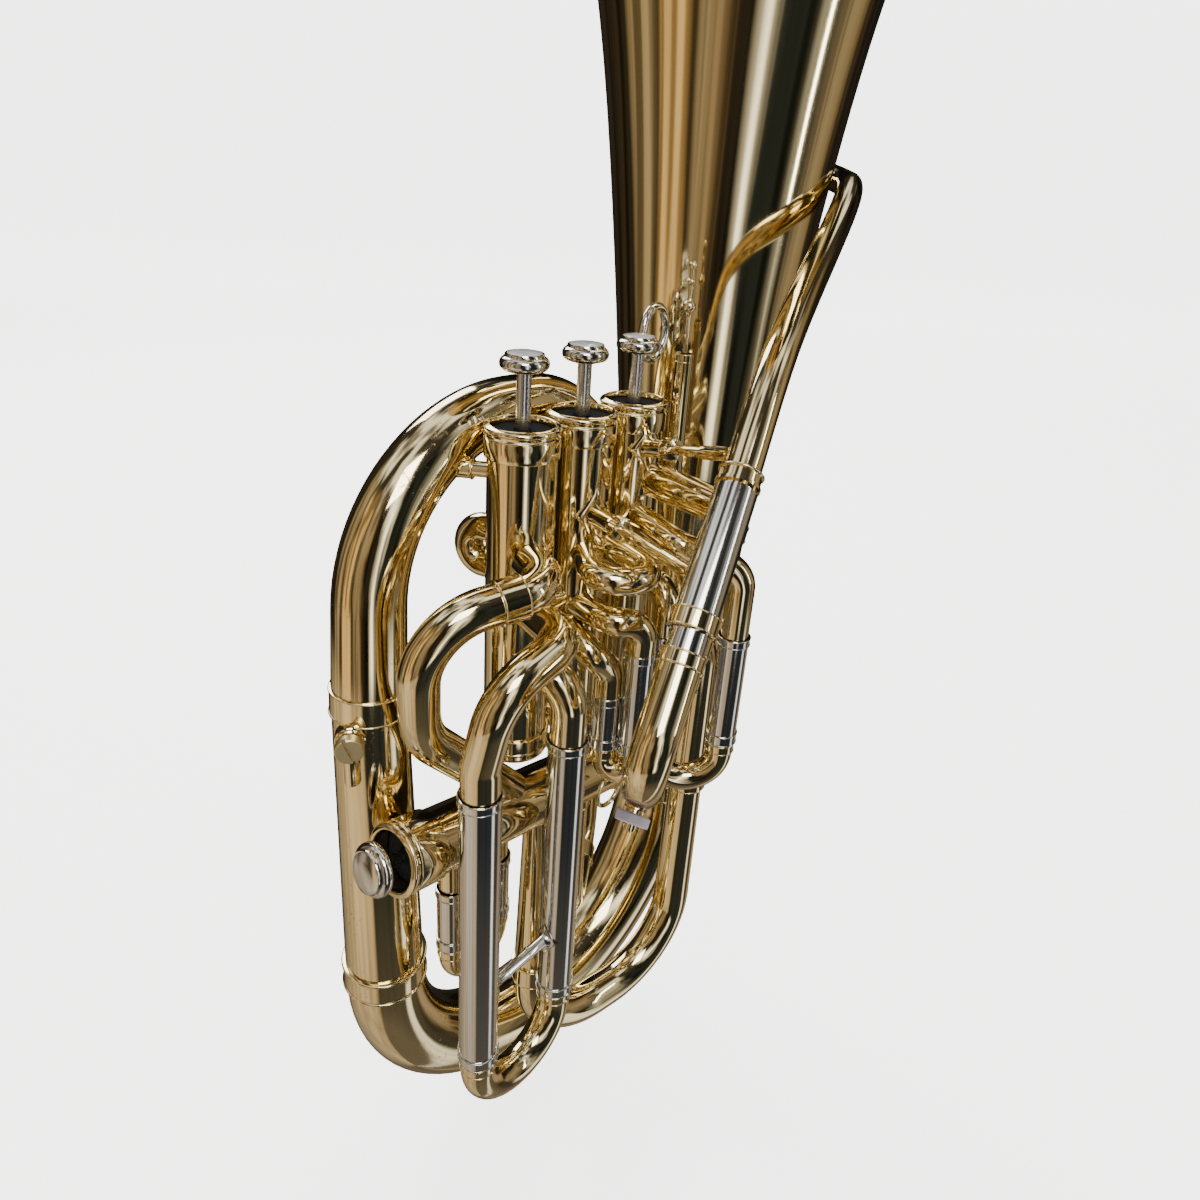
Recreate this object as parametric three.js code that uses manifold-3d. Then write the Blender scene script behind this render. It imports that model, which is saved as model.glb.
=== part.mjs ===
// A compensating top-action tuba with four piston valves.
// Millimetres, +Z up. The three upright valves stand in a row along X, the
// bell rises on the +X side, and the player sits on the +Y side.
// The body is drawn in the valve frame (origin at the top of the second
// valve's cap) and set down at the end so that the origin is under its middle.
import * as THREE from 'three';
import { mergeVertices } from 'three/addons/utils/BufferGeometryUtils.js';
import Module from 'manifold-3d';

const wasm = await Module();
wasm.setup();

// ---- driving dimensions ----
const GAP = 0.3;
const VALVE_PITCH = 42.9;
const CASING_R = 17.25;
const CASING_BORE_R = 16.4;
const CAP_R = 19;
const CASING_LENGTH = 180;
// The fourth valve lies under the others, tilted up towards its cap.
const FOURTH_CAP_X = -131;
const FOURTH_Y = -4;
const FOURTH_CAP_Z = -207;
const FOURTH_TILT = 0.185;

const BELL_X = 150;
const BELL_Y = 30;
const BELL_TOP_Z = 365;
const TAIL_Z = -330;
const THROAT_R = 60;
const THROAT_Z = 60;
const THROAT_GROWTH = 583;
const FLARE_R = 99;
const FLARE_GROWTH = 45;

const LEFT_X = -108;
const LEFT_Y = 38;
const SEAM_Z = -140;
const TOP_BOW_Z = -4;
const INNER_X = 66;
const INNER_TOP_Z = -110;

const BRASS = { color: 0xd8a846, roughness: 0.18, metalness: 1 };
const NICKEL = { color: 0xc9c7bd, roughness: 0.16, metalness: 1 };
const STEEL = { color: 0xa9abad, roughness: 0.3, metalness: 1 };
const FELT = { color: 0x141414, roughness: 0.95, metalness: 0 };
const GREY_RUBBER = { color: 0x77767c, roughness: 0.6, metalness: 0 };

const group = new THREE.Group();
const v = (x, y, z) => new THREE.Vector3(x, y, z);

// ---- shared tools ----
function addPart(name, geometry, look) {
  const mesh = new THREE.Mesh(geometry, new THREE.MeshStandardMaterial(look));
  mesh.name = name;
  group.add(mesh);
  return mesh;
}

function closedSurface(geometry) {
  const bare = geometry.clone();
  bare.deleteAttribute('normal');
  bare.deleteAttribute('uv');
  return mergeVertices(bare, 1e-3);
}

function toSolid(geometry) {
  const merged = closedSurface(geometry);
  return new wasm.Manifold(new wasm.Mesh({
    numProp: 3,
    vertProperties: new Float32Array(merged.attributes.position.array),
    triVerts: new Uint32Array(merged.index.array),
  }));
}

function toGeometry(solid) {
  const mesh = solid.getMesh();
  const geometry = new THREE.BufferGeometry();
  geometry.setAttribute('position', new THREE.BufferAttribute(new Float32Array(mesh.vertProperties), 3));
  geometry.setIndex(new THREE.BufferAttribute(new Uint32Array(mesh.triVerts), 1));
  return geometry;
}

function cut(geometry, ...cutters) {
  return toGeometry(cutters.reduce((solid, cutter) => solid.subtract(toSolid(cutter)), toSolid(geometry)));
}

function join(...geometries) {
  return toGeometry(geometries.map(toSolid).reduce((all, solid) => all.add(solid)));
}

// A solid of revolution about Z from [radius, height] pairs, closed on itself
// and taken anticlockwise, so that its faces point out.
function turned(profile, sides = 16) {
  const points = profile.map(([radius, height]) => new THREE.Vector2(radius, height));
  if (THREE.ShapeUtils.isClockWise(points)) points.reverse();
  const onAxis = profile[0][0] === 0;
  if (!onAxis) points.push(points[0].clone());
  return new THREE.LatheGeometry(points, sides).rotateX(Math.PI / 2);
}

function ringProfile(outer, inner, low, high) {
  return [[inner, low], [outer, low], [outer, high], [inner, high]];
}

function rodProfile(radius, low, high) {
  return [[0, low], [radius, low], [radius, high], [0, high]];
}

// Turns a Z-axis shape so that its axis points along a direction from a point.
function aimed(geometry, from, direction) {
  const turn = new THREE.Quaternion().setFromUnitVectors(v(0, 0, 1), direction.clone().normalize());
  return geometry.applyQuaternion(turn).translate(from.x, from.y, from.z);
}

// A line of stations: straight runs take one step, bends take several.
class Route extends THREE.Curve {
  constructor(stations) {
    super();
    this.stations = stations;
  }

  steps() {
    return this.stations.length - 1;
  }

  at(u) {
    const place = Math.min(u * this.steps(), this.steps());
    const index = Math.min(Math.floor(place + 1e-6), this.steps() - 1);
    return [this.stations[index], this.stations[index + 1], place - index];
  }

  getPointAt(u, target = new THREE.Vector3()) {
    const [a, b, mix] = this.at(u);
    return target.copy(a.point).lerp(b.point, mix);
  }

  getPoint(u, target) {
    return this.getPointAt(u, target);
  }

  getTangentAt(u, target = new THREE.Vector3()) {
    const [a, b, mix] = this.at(u);
    return target.copy(a.tangent).lerp(b.tangent, mix).normalize();
  }

  getTangent(u, target) {
    return this.getTangentAt(u, target);
  }
}

// Corner points joined by straight runs with a circular bend at each corner.
function bentRoute(corners, bendRadius, bendSteps = 4) {
  const first = corners[0];
  const stations = [{ point: first, tangent: corners[1].clone().sub(first).normalize() }];
  for (let i = 1; i < corners.length - 1; i += 1) {
    const into = corners[i].clone().sub(corners[i - 1]).normalize();
    const out = corners[i + 1].clone().sub(corners[i]).normalize();
    const angle = into.angleTo(out);
    const radius = Array.isArray(bendRadius) ? bendRadius[i - 1] : bendRadius;
    const start = corners[i].clone().addScaledVector(into, -radius * Math.tan(angle / 2));
    const inward = out.clone().addScaledVector(into, -out.dot(into)).normalize();
    const centre = start.clone().addScaledVector(inward, radius);
    const parts = Math.max(2, Math.round((bendSteps * angle) / (Math.PI / 2)));
    for (let k = 0; k <= parts; k += 1) {
      const turn = (angle * k) / parts;
      stations.push({
        point: centre.clone()
          .addScaledVector(inward, -radius * Math.cos(turn))
          .addScaledVector(into, radius * Math.sin(turn)),
        tangent: into.clone().multiplyScalar(Math.cos(turn)).addScaledVector(inward, Math.sin(turn)),
      });
    }
  }
  const last = corners[corners.length - 1];
  stations.push({ point: last, tangent: last.clone().sub(corners[corners.length - 2]).normalize() });
  return new Route(stations.filter((station, i) => {
    return i === 0 || station.point.distanceTo(stations[i - 1].point) > 0.5;
  }));
}

// A round tube along a route. radiusAt may be a number or a function of the
// share of the length travelled; a bore makes it hollow with open ends.
function tube(route, radiusAt, sides = 10, bore = 0) {
  const outline = new THREE.Shape().absarc(0, 0, 1, 0, 2 * Math.PI);
  if (bore) outline.holes.push(new THREE.Path().absarc(0, 0, bore, 0, 2 * Math.PI, true));
  const geometry = new THREE.ExtrudeGeometry(outline, {
    steps: route.steps(),
    curveSegments: sides / 2,
    extrudePath: route,
  });
  const lengths = [0];
  for (let i = 1; i < route.stations.length; i += 1) {
    lengths.push(lengths[i - 1] + route.stations[i].point.distanceTo(route.stations[i - 1].point));
  }
  const positions = geometry.attributes.position;
  const place = new THREE.Vector3();
  for (let i = 0; i < positions.count; i += 1) {
    place.fromBufferAttribute(positions, i);
    let nearest = 0;
    route.stations.forEach((station, k) => {
      const off = Math.abs(place.clone().sub(station.point).dot(station.tangent));
      const reach = place.distanceTo(station.point);
      if (off < 1e-4 && reach < 1.01) nearest = k;
    });
    const share = lengths[nearest] / lengths[lengths.length - 1];
    const radius = typeof radiusAt === 'function' ? radiusAt(share) : radiusAt;
    const centre = route.stations[nearest].point;
    place.sub(centre).multiplyScalar(radius).add(centre);
    positions.setXYZ(i, place.x, place.y, place.z);
  }
  return geometry;
}

const blend = (from, to) => (share) => from + (to - from) * share;

function straight(from, to, radius, sides = 12, boreRadius = 0) {
  return tube(bentRoute([from, to], 1), radius, sides, boreRadius / radius);
}

// Keeps tubes clear of a valve casing that stands at x on the valve row.
function casingCutter(x) {
  return turned(rodProfile(CASING_R + GAP, -CASING_LENGTH - 20, 10), 20).translate(x, 0, 0);
}

function fourthCutter() {
  return lyingFourth(turned(rodProfile(CASING_R + GAP, -CASING_LENGTH - 5, -12), 20));
}

// Height of the fourth valve's axis above a place on the valve row.
function fourthAxisZ(x) {
  return FOURTH_CAP_Z - (x - FOURTH_CAP_X) * Math.tan(FOURTH_TILT);
}

// ---- bell and main branches ----
function bellRadius(z) {
  return THROAT_R * Math.exp((z - THROAT_Z) / THROAT_GROWTH)
    + FLARE_R * Math.exp((z - BELL_TOP_Z) / FLARE_GROWTH);
}

function bell() {
  const wall = 1.6;
  const levels = [TAIL_Z, -130, 60, 170, 240, 285, 318, 344, BELL_TOP_Z - 3];
  const outside = levels.map((z) => [bellRadius(z), z]);
  const rim = bellRadius(BELL_TOP_Z - 3);
  const bead = [[rim + 3, BELL_TOP_Z - 3], [rim + 3, BELL_TOP_Z], [rim - 3, BELL_TOP_Z]];
  const inside = [...levels].reverse().slice(1).map((z) => [bellRadius(z) - wall, z]);
  return turned([...outside, ...bead, ...inside], 24).translate(BELL_X, BELL_Y, 0);
}

function bottomBow() {
  const dropZ = TAIL_Z - (BELL_X - LEFT_X) / 2;
  const route = bentRoute([
    v(BELL_X, BELL_Y, TAIL_Z - GAP),
    v(BELL_X, BELL_Y, dropZ),
    v(LEFT_X, LEFT_Y, dropZ),
    v(LEFT_X, LEFT_Y, TAIL_Z - GAP),
  ], (BELL_X - LEFT_X) / 2 - 1, 7);
  const bow = tube(route, blend(bellRadius(TAIL_Z), 22.5), 14);
  const bellEnd = ferrule(BELL_X, BELL_Y, TAIL_Z + 3, bellRadius(TAIL_Z + 10) + 0.7);
  const branchEnd = ferrule(LEFT_X, LEFT_Y, TAIL_Z + 3, 23.2);
  const sole = (x, y, radius) => turned(rodProfile(radius, TAIL_Z - 4, TAIL_Z - GAP), 18).translate(x, y, 0);
  return join(
    bow,
    bellEnd,
    branchEnd,
    sole(BELL_X, BELL_Y, bellRadius(TAIL_Z) + 1.6),
    sole(LEFT_X, LEFT_Y, 24),
  );
}

// A shield along the outside of the bottom bow, with the flat it stands on.
const GUARD_HALF = 34;
const GUARD_LOW_Z = TAIL_Z - (BELL_X - LEFT_X) / 2 - 31;

function bottomGuard() {
  const bowX = (BELL_X + LEFT_X) / 2;
  const bowY = (BELL_Y + LEFT_Y) / 2;
  const block = new THREE.BoxGeometry(2 * GUARD_HALF, 22, 12)
    .translate(bowX, bowY, GUARD_LOW_Z + 6);
  const route = bentRoute([
    v(BELL_X, BELL_Y, TAIL_Z),
    v(BELL_X, BELL_Y, TAIL_Z - (BELL_X - LEFT_X) / 2),
    v(LEFT_X, LEFT_Y, TAIL_Z - (BELL_X - LEFT_X) / 2),
    v(LEFT_X, LEFT_Y, TAIL_Z),
  ], (BELL_X - LEFT_X) / 2 - 1, 8);
  return cut(block, tube(route, blend(bellRadius(TAIL_Z) + 0.8, 23.3), 14));
}

// The lyre screw stands out from the outer branch, on a post.
const LYRE_OUT = v(-0.6, -0.8, 0);
const LYRE_Z = -151;
const lyrePlace = (out, z) => [LEFT_X - 9.2 + LYRE_OUT.x * out, LEFT_Y + 5.1 + LYRE_OUT.y * out, z];

function outerBranch() {
  const route = bentRoute([v(LEFT_X, LEFT_Y, TAIL_Z + GAP), v(LEFT_X - 3, LEFT_Y - 2, SEAM_Z)], 1);
  const post = new THREE.BoxGeometry(9, 12, 31)
    .rotateZ(Math.atan2(LYRE_OUT.y, LYRE_OUT.x))
    .translate(...lyrePlace(19.5, LYRE_Z - 11));
  const screwHole = aimed(turned(rodProfile(2.6, 0, 20), 10), v(...lyrePlace(13, LYRE_Z)), LYRE_OUT);
  return cut(join(tube(route, blend(22.5, 19), 14), post), screwHole);
}

function topBowRoute() {
  const left = v(LEFT_X - 3, LEFT_Y - 2, SEAM_Z + 5 * GAP);
  const right = v(INNER_X, LEFT_Y, INNER_TOP_Z);
  return bentRoute([
    left,
    v(left.x + 7, left.y + 1, TOP_BOW_Z),
    v(right.x, right.y, TOP_BOW_Z),
    right,
  ], [90, 72], 6);
}

function topBow() {
  return tube(topBowRoute(), blend(19, 14), 12);
}

function innerBranch() {
  const route = bentRoute([
    v(INNER_X, LEFT_Y, INNER_TOP_Z - GAP),
    v(INNER_X, LEFT_Y, -345),
    v(3, FOURTH_Y, -345),
    v(3, FOURTH_Y, fourthAxisZ(3) - CASING_R + 4),
  ], 28, 5);
  return cut(tube(route, blend(13.6, 11.5), 12), fourthCutter());
}

function ferrule(x, y, z, innerRadius) {
  return turned(ringProfile(innerRadius + 1.8, innerRadius, z - 7, z + 7), 18).translate(x, y, 0);
}

// ---- leadpipe and main tuning slide ----
const PIPE_END = v(7, -92, -15);
const SLIDE_DIRECTION = v(-0.652, -0.18, -0.735).normalize();
const LEVEL_ACROSS = v(0.906, 0.422, 0);
const SLIDE_ACROSS = LEVEL_ACROSS.clone()
  .addScaledVector(SLIDE_DIRECTION, -LEVEL_ACROSS.dot(SLIDE_DIRECTION)).normalize();
const SLIDE_SPACING = 48;
const SLEEVE_R = 10.3;
const SLEEVE_BORE_R = 9.5;
const LEG_R = 8.8;
const SLEEVE_LENGTH = 69.5;
const LEG_INSIDE = 60;
const LEG_SHOWN = 11.5;
const BOW_STRAIGHT = 32;
const WATER_DROP = 6 + SLEEVE_LENGTH + LEG_SHOWN + BOW_STRAIGHT + SLIDE_SPACING / 2 + 9.7;

function alongSlide(distance, across = 0) {
  return PIPE_END.clone().addScaledVector(SLIDE_DIRECTION, distance).addScaledVector(SLIDE_ACROSS, across);
}

function leadpipeRoute() {
  const wrap = 77.5;
  const stations = [];
  const turns = [-62, -45, -25, -5, 15];
  const points = [
    alongSlide(6 - GAP),
    alongSlide(-70),
    ...turns.map((degrees, i) => v(
      BELL_X + wrap * Math.cos((degrees * Math.PI) / 180),
      BELL_Y + wrap * Math.sin((degrees * Math.PI) / 180),
      112 + 4.5 * i,
    )),
    v(214, 84, 133),
    v(207, 106, 137),
    v(207, 112, 137),
  ];
  const curve = new THREE.CatmullRomCurve3(points, false, 'centripetal');
  const count = 20;
  for (let i = 0; i <= count; i += 1) {
    stations.push({ point: curve.getPointAt(i / count), tangent: curve.getTangentAt(i / count) });
  }
  stations[count].tangent = v(0, 1, 0);
  return new Route(stations);
}

function receiver() {
  const route = leadpipeRoute();
  const end = route.stations[route.stations.length - 1];
  const shape = [[6.2, GAP], [8.6, GAP], [8.6, 6], [7.4, 8], [7.4, 36], [8.8, 38], [8.8, 44], [6.2, 44]];
  return aimed(turned(shape, 16), end.point, end.tangent);
}

function leadpipe() {
  const pipe = tube(leadpipeRoute(), blend(9, 7.2), 10);
  const collar = aimed(turned(rodProfile(11, 0, 8), 16), alongSlide(-4), SLIDE_DIRECTION);
  return join(pipe, collar);
}

function mainSleeve(across) {
  return straight(alongSlide(6, across), alongSlide(6 + SLEEVE_LENGTH, across), SLEEVE_R, 12, SLEEVE_BORE_R);
}

function mainSlide() {
  const top = 6 + SLEEVE_LENGTH + LEG_SHOWN;
  const low = top + BOW_STRAIGHT + SLIDE_SPACING / 2;
  const route = bentRoute([
    alongSlide(top, 0), alongSlide(low, 0), alongSlide(low, SLIDE_SPACING), alongSlide(top, SLIDE_SPACING),
  ], SLIDE_SPACING / 2 - 0.5, 5);
  const legTop = top - LEG_SHOWN - LEG_INSIDE;
  const leg = (across) => straight(alongSlide(legTop, across), alongSlide(top + 2, across), LEG_R, 12);
  const collar = (across) => straight(alongSlide(top, across), alongSlide(top + 5, across), 10.4, 12);
  const seat = aimed(
    turned([[0, -3], [5.2, -3], [5.2, 0.2], [3, 0.4], [3, 8.6], [0, 10]], 14),
    alongSlide(WATER_DROP, SLIDE_SPACING / 2),
    SLIDE_DIRECTION,
  );
  return join(tube(route, 9.7, 12), leg(0), leg(SLIDE_SPACING), collar(0), collar(SLIDE_SPACING), seat);
}

function mainReturn() {
  const top = alongSlide(9, SLIDE_SPACING);
  const route = bentRoute([top, alongSlide(-2, SLIDE_SPACING), v(VALVE_PITCH + 3, -12, -44)], 14, 4);
  return join(cut(tube(route, 9.7, 12), casingCutter(VALVE_PITCH)), mainSleeve(SLIDE_SPACING));
}

function waterRing() {
  const ring = turned(ringProfile(7.6, 3.6, 0, 5), 16);
  return aimed(ring, alongSlide(WATER_DROP + 1.8, SLIDE_SPACING / 2), SLIDE_DIRECTION);
}

// ---- piston valves, drawn upright with the cap's rim at height 0 ----
const CASING_TOP = -9;
const PISTON_TOP = -44;
const PISTON_LENGTH = 88;
const BUTTON_Z = 24;

// The fourth valve has a shorter stem, and its felt lies deeper in the cap.
const FOURTH_BUTTON_Z = 5;
const FOURTH_SUNK = 7;

const casingShape = (sunk) => turned(rodProfile(CASING_R, -CASING_LENGTH, CASING_TOP - sunk));
const casingBore = () => turned(rodProfile(CASING_BORE_R, -CASING_LENGTH - 5, CASING_TOP + 5));

function topCapShape(sunk) {
  return turned([
    [4.4, -8.7 - sunk], [CASING_R + 0.45, -8.7 - sunk], [CASING_R + 0.45, -16 - sunk], [18.7, -16 - sunk],
    [18.7, -5], [CAP_R, -3.6], [CAP_R, -0.8], [18.2, 0], [15.2, 0], [15.2, -6.7 - sunk], [4.4, -6.7 - sunk],
  ]);
}

function feltShape(sunk) {
  return turned(ringProfile(14.8, 4.4, -6.4 - sunk, -3.2 - sunk), 16);
}

function bottomCapShape() {
  const seat = -CASING_LENGTH;
  return turned([
    [0, seat - GAP], [CASING_R + 0.45, seat - GAP], [CASING_R + 0.45, seat + 9],
    [18.6, seat + 9], [18.6, seat - 3], [16.5, seat - 6.5], [4.5, seat - 6.5], [4.5, seat - 10], [0, seat - 10],
  ]);
}

// The piston has ports across it, a pocket below for its spring, and its stem.
function pistonShape(buttonZ) {
  const low = PISTON_TOP - PISTON_LENGTH;
  const body = turned([
    [0, low + 26], [12, low + 26], [12, low], [15.9, low], [15.9, PISTON_TOP], [7, PISTON_TOP],
    [7, PISTON_TOP + 3], [3.6, PISTON_TOP + 4], [3.6, buttonZ - GAP], [0, buttonZ - GAP],
  ]);
  const port = (height, turn) => turned(rodProfile(7.2, -30, 30), 8)
    .rotateY(Math.PI / 2).rotateZ(turn).translate(0, 0, PISTON_TOP - height);
  return cut(body, port(14, 0.4), port(36, 2));
}

function buttonShape(low, radius = 12) {
  return turned([
    [0, low], [radius - 6, low], [radius - 3.5, low + 1.4], [radius - 0.8, low + 3.6], [radius, low + 6.2],
    [radius - 0.6, low + 8.8], [radius - 2.4, low + 10.4], [0, low + 10.4],
  ]);
}

function springShape() {
  const low = -CASING_LENGTH;
  const high = PISTON_TOP - PISTON_LENGTH + 25.5;
  const turns = 4;
  const perTurn = 6;
  const stations = [];
  for (let i = 0; i <= turns * perTurn; i += 1) {
    const angle = (2 * Math.PI * i) / perTurn;
    const rise = (high - low - 2) / (turns * perTurn);
    stations.push({
      point: v(9.5 * Math.cos(angle), 9.5 * Math.sin(angle), low + 1 + rise * i),
      tangent: v(-9.5 * Math.sin(angle), 9.5 * Math.cos(angle), (rise * perTurn) / (2 * Math.PI)).normalize(),
    });
  }
  return tube(new Route(stations), 0.8, 4);
}

const upright = (x) => (geometry) => geometry.translate(x, 0, 0);
const lyingFourth = (geometry) => geometry.rotateY(FOURTH_TILT - Math.PI / 2)
  .translate(FOURTH_CAP_X, FOURTH_Y, FOURTH_CAP_Z);
const valvePlaces = [upright(VALVE_PITCH), upright(0), upright(-VALVE_PITCH), lyingFourth];

function addValves() {
  valvePlaces.forEach((place, i) => {
    const number = i + 1;
    const buttonZ = number === 4 ? FOURTH_BUTTON_Z : BUTTON_Z;
    const sunk = number === 4 ? FOURTH_SUNK : 0;
    addPart(`piston_${number}`, place(pistonShape(buttonZ)), STEEL);
    addPart(`piston_spring_${number}`, place(springShape()), STEEL);
    addPart(`finger_button_${number}`, place(buttonShape(buttonZ, number === 4 ? 13.8 : 12)), NICKEL);
    addPart(`top_cap_${number}`, place(topCapShape(sunk)), BRASS);
    addPart(`bottom_cap_${number}`, place(bottomCapShape()), BRASS);
    addPart(`valve_felt_${number}`, place(feltShape(sunk)), FELT);
  });
}

// The three upright casings, soldered together by the short links that carry
// the air between them, with the stay that reaches to the top bow.
function valveBlock() {
  const link = (x, z) => straight(v(x - 14, 0, z), v(x + 14, 0, z), 8.5, 12);
  const topBowClear = tube(topBowRoute(), blend(19.4, 14.4), 12);
  const toBow = cut(straight(v(-64, 34, -26), v(-48, 6, -25), 4.4), topBowClear);
  const upright3 = valvePlaces.slice(0, 3);
  const solid = join(
    ...upright3.map((place) => place(casingShape(0))),
    link(VALVE_PITCH / 2, -78),
    link(-VALVE_PITCH / 2, -100),
    toBow,
  );
  return cut(solid, ...upright3.map((place) => place(casingBore())));
}

// ---- valve slides: sleeves hang from the valve tubing, a bow runs in them ----
function sleeve({ radius, top, low }, [x, y]) {
  return straight(v(x, y, top), v(x, y, low), radius, 10, radius - 0.9);
}

function slideBow({ a, b, radius, low: top, inside }) {
  const spacing = Math.hypot(a[0] - b[0], a[1] - b[1]);
  const legRadius = radius - 1.8;
  const depth = top - 8 - spacing / 2;
  const route = bentRoute([
    v(...a, top - GAP), v(...a, depth), v(...b, depth), v(...b, top - GAP),
  ], spacing / 2 - 0.3, 4);
  const leg = ([x, y]) => straight(v(x, y, top - 2), v(x, y, top + inside), legRadius, 10);
  const collar = ([x, y]) => straight(v(x, y, top - GAP), v(x, y, top - 6), radius, 10);
  return join(tube(route, radius - 0.7, 8), leg(a), leg(b), collar(a), collar(b));
}

const FIRST = { a: [52, -76], b: [25, -47], radius: 8.5, top: -121, low: -191, inside: 55 };
const SECOND = { a: [1, -49], b: [-6, -34.5], radius: 7.8, top: -122, low: -186, inside: 30 };
const SECOND_LOW_TOP = -152;
const THIRD = { a: [-102.7, -38], b: [-41.5, -38], radius: 10.5, top: -162, low: -341, inside: 130 };
const FOURTH = { a: [-92, -4], b: [-60, -4], radius: 8.2, top: -250, low: -292, inside: 34 };

function crook(corners, bend, radius, cutters) {
  return cut(tube(bentRoute(corners, bend), radius, 8), ...cutters);
}

// A crook from a casing soldered to the outer sleeve of a slide's leg.
function tubing(slide, leg, corners, bend, radius, cutters) {
  const end = v(...leg, slide.top - 3);
  return join(crook([...corners, end], bend, radius, cutters), sleeve(slide, leg));
}

function addTubing() {
  const one = [casingCutter(VALVE_PITCH)];
  const two = [casingCutter(0)];
  const three = [casingCutter(-VALVE_PITCH)];
  addPart('first_tubing_a', tubing(FIRST, FIRST.a, [v(38, -8, -64), v(31, -46, -70), v(52, -76, -82)],
    [12, 14], 7.8, one), BRASS);
  addPart('first_tubing_b', tubing(FIRST, FIRST.b, [v(38, -10, -96), v(25, -47, -96)], 12, 7.8, one), BRASS);
  addPart('second_tubing_a', tubing(SECOND, SECOND.a, [v(-6, -8, -106), v(-15, -40, -102), v(1, -50, -106)],
    [11, 11], 7.9, two), BRASS);
  addPart('second_tubing_b', tubing({ ...SECOND, top: SECOND_LOW_TOP }, SECOND.b,
    [v(-12, -8, -119), v(-22, -32, -120), v(-6, -34.5, -137)], [10, 12], 7.9, two), BRASS);
  addPart('third_tubing_a', tubing(THIRD, THIRD.a, [
    v(-44, -8, -96), v(-57, -47, -94), v(-99, -46, -105), v(-102.7, -38, -146),
  ], [15, 28, 20], 9.9, three), BRASS);
  addPart('third_tubing_b', tubing(THIRD, THIRD.b, [v(-51, -8, -125), v(-41.5, -38, -127)],
    19, 9.9, three), BRASS);
  addPart('second_loop', crook(
    [v(-7, -12, -74), v(-25, -36, -76), v(6, -64, -79), v(13, -12, -77)], [13, 14], 7.3, two,
  ), BRASS);
  addPart('crossing_loop', crook([
    v(-47, -6, -64), v(-58, -38, -68), v(-121, -17, -75), v(-116, -10, -137),
    v(-40, FOURTH_Y, fourthAxisZ(-40)),
  ], [15.5, 34, 44], 10, [...three, fourthCutter()]), BRASS);
  addPart('back_loop', crook(
    [v(-44, 8, -59), v(-50, 30, -59), v(-50, 30, -79), v(-44, 8, -79)], 9.6, 7.5, three,
  ), BRASS);
}

// The fourth casing with two slide sleeves soldered under it on short stubs.
function fourthCasing() {
  const place = valvePlaces[3];
  const stub = ([x, y]) => straight(v(x, y, fourthAxisZ(x)), v(x, y, FOURTH.top - 3), 7.4);
  const solid = join(
    place(casingShape(FOURTH_SUNK)),
    stub(FOURTH.a),
    stub(FOURTH.b),
    sleeve(FOURTH, FOURTH.a),
    sleeve(FOURTH, FOURTH.b),
  );
  return cut(solid, place(casingBore()));
}

// The long loop from the first casing down round the bottom bow to the fourth.
function fourthLoop() {
  const route = bentRoute([
    v(VALVE_PITCH, -6, -152), v(101, -28, -152), v(97, -28, -434),
    v(-26, -6, -430), v(-26, FOURTH_Y, fourthAxisZ(-26)),
  ], [26, 57, 57], 5);
  const wide = (share) => Math.min(12.5, 8 + 20 * share, 8 + 20 * (1 - share));
  return cut(tube(route, wide, 12), fourthCutter(), casingCutter(VALVE_PITCH));
}

// ---- stays, screws and rings ----
function stay(from, to) {
  const direction = to.clone().sub(from);
  const length = direction.length();
  const foot = 8;
  return aimed(turned([
    [0, 0], [foot, 0], [foot, 3.2], [5, 4.5], [5, 18], [6.4, 19], [6.4, 24], [3.2, 25],
    [3.2, length - 22], [5, length - 20], [5, length], [0, length],
  ], 12), from, direction);
}

function leadStay(x, z, distance) {
  const clear = straight(alongSlide(-30), alongSlide(90), 11.4, 14);
  const to = alongSlide(distance);
  const from = v(x, 0, z).addScaledVector(v(to.x - x, to.y, 0).normalize(), CASING_R - 1.5);
  return cut(stay(from, to.addScaledVector(v(to.x - x, to.y, 0).normalize(), -9)), casingCutter(x), clear);
}

function slideStay() {
  const z = -296;
  const body = straight(v(...THIRD.a, z), v(...THIRD.b, z), 3);
  const outer = ([x, y]) => turned(rodProfile(THIRD.radius + GAP, z - 30, z + 30), 16).translate(x, y, 0);
  return cut(body, outer(THIRD.a), outer(THIRD.b));
}

function thumbRing() {
  const ring = new THREE.TorusGeometry(15, 2.6, 6, 16)
    .rotateX(Math.PI / 2)
    .rotateZ(0.2)
    .translate(75, 14, 30);
  const bellClear = turned(rodProfile(bellRadius(30) + 2, 10, 50), 24).translate(BELL_X, BELL_Y, 0);
  return join(ring, cut(straight(v(89, 17, 30), v(100, 20, 30), 3.4), bellClear));
}

function lyreScrew() {
  const body = turned([
    [0, -10], [2.2, -10], [2.2, 0], [4.5, 0.6], [6.9, 1.4], [6.9, 6.4], [6.2, 7], [0, 7],
  ], 16);
  const slot = new THREE.BoxGeometry(1.4, 20, 3).rotateZ(0.35).translate(0, 0, 7);
  return aimed(cut(body, slot), v(...lyrePlace(24 + GAP, LYRE_Z)), LYRE_OUT);
}

const TRIGGER_X = 67;
const TRIGGER_Y = -14;

function triggerBarrel() {
  return straight(v(TRIGGER_X, TRIGGER_Y, -52), v(TRIGGER_X, TRIGGER_Y, 24), 5, 12, 4.1);
}

function triggerRod() {
  return turned([
    [0, -44], [3.2, -44], [3.2, -30], [1.4, -28], [1.4, 44], [3.4, 46.5], [3.8, 49], [3.4, 51.5], [1.4, 54],
    [1.4, 60], [2.4, 62], [1.4, 64], [1.4, 68], [2.2, 70], [0, 72.4],
  ], 10).translate(TRIGGER_X, TRIGGER_Y, 0);
}

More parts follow.
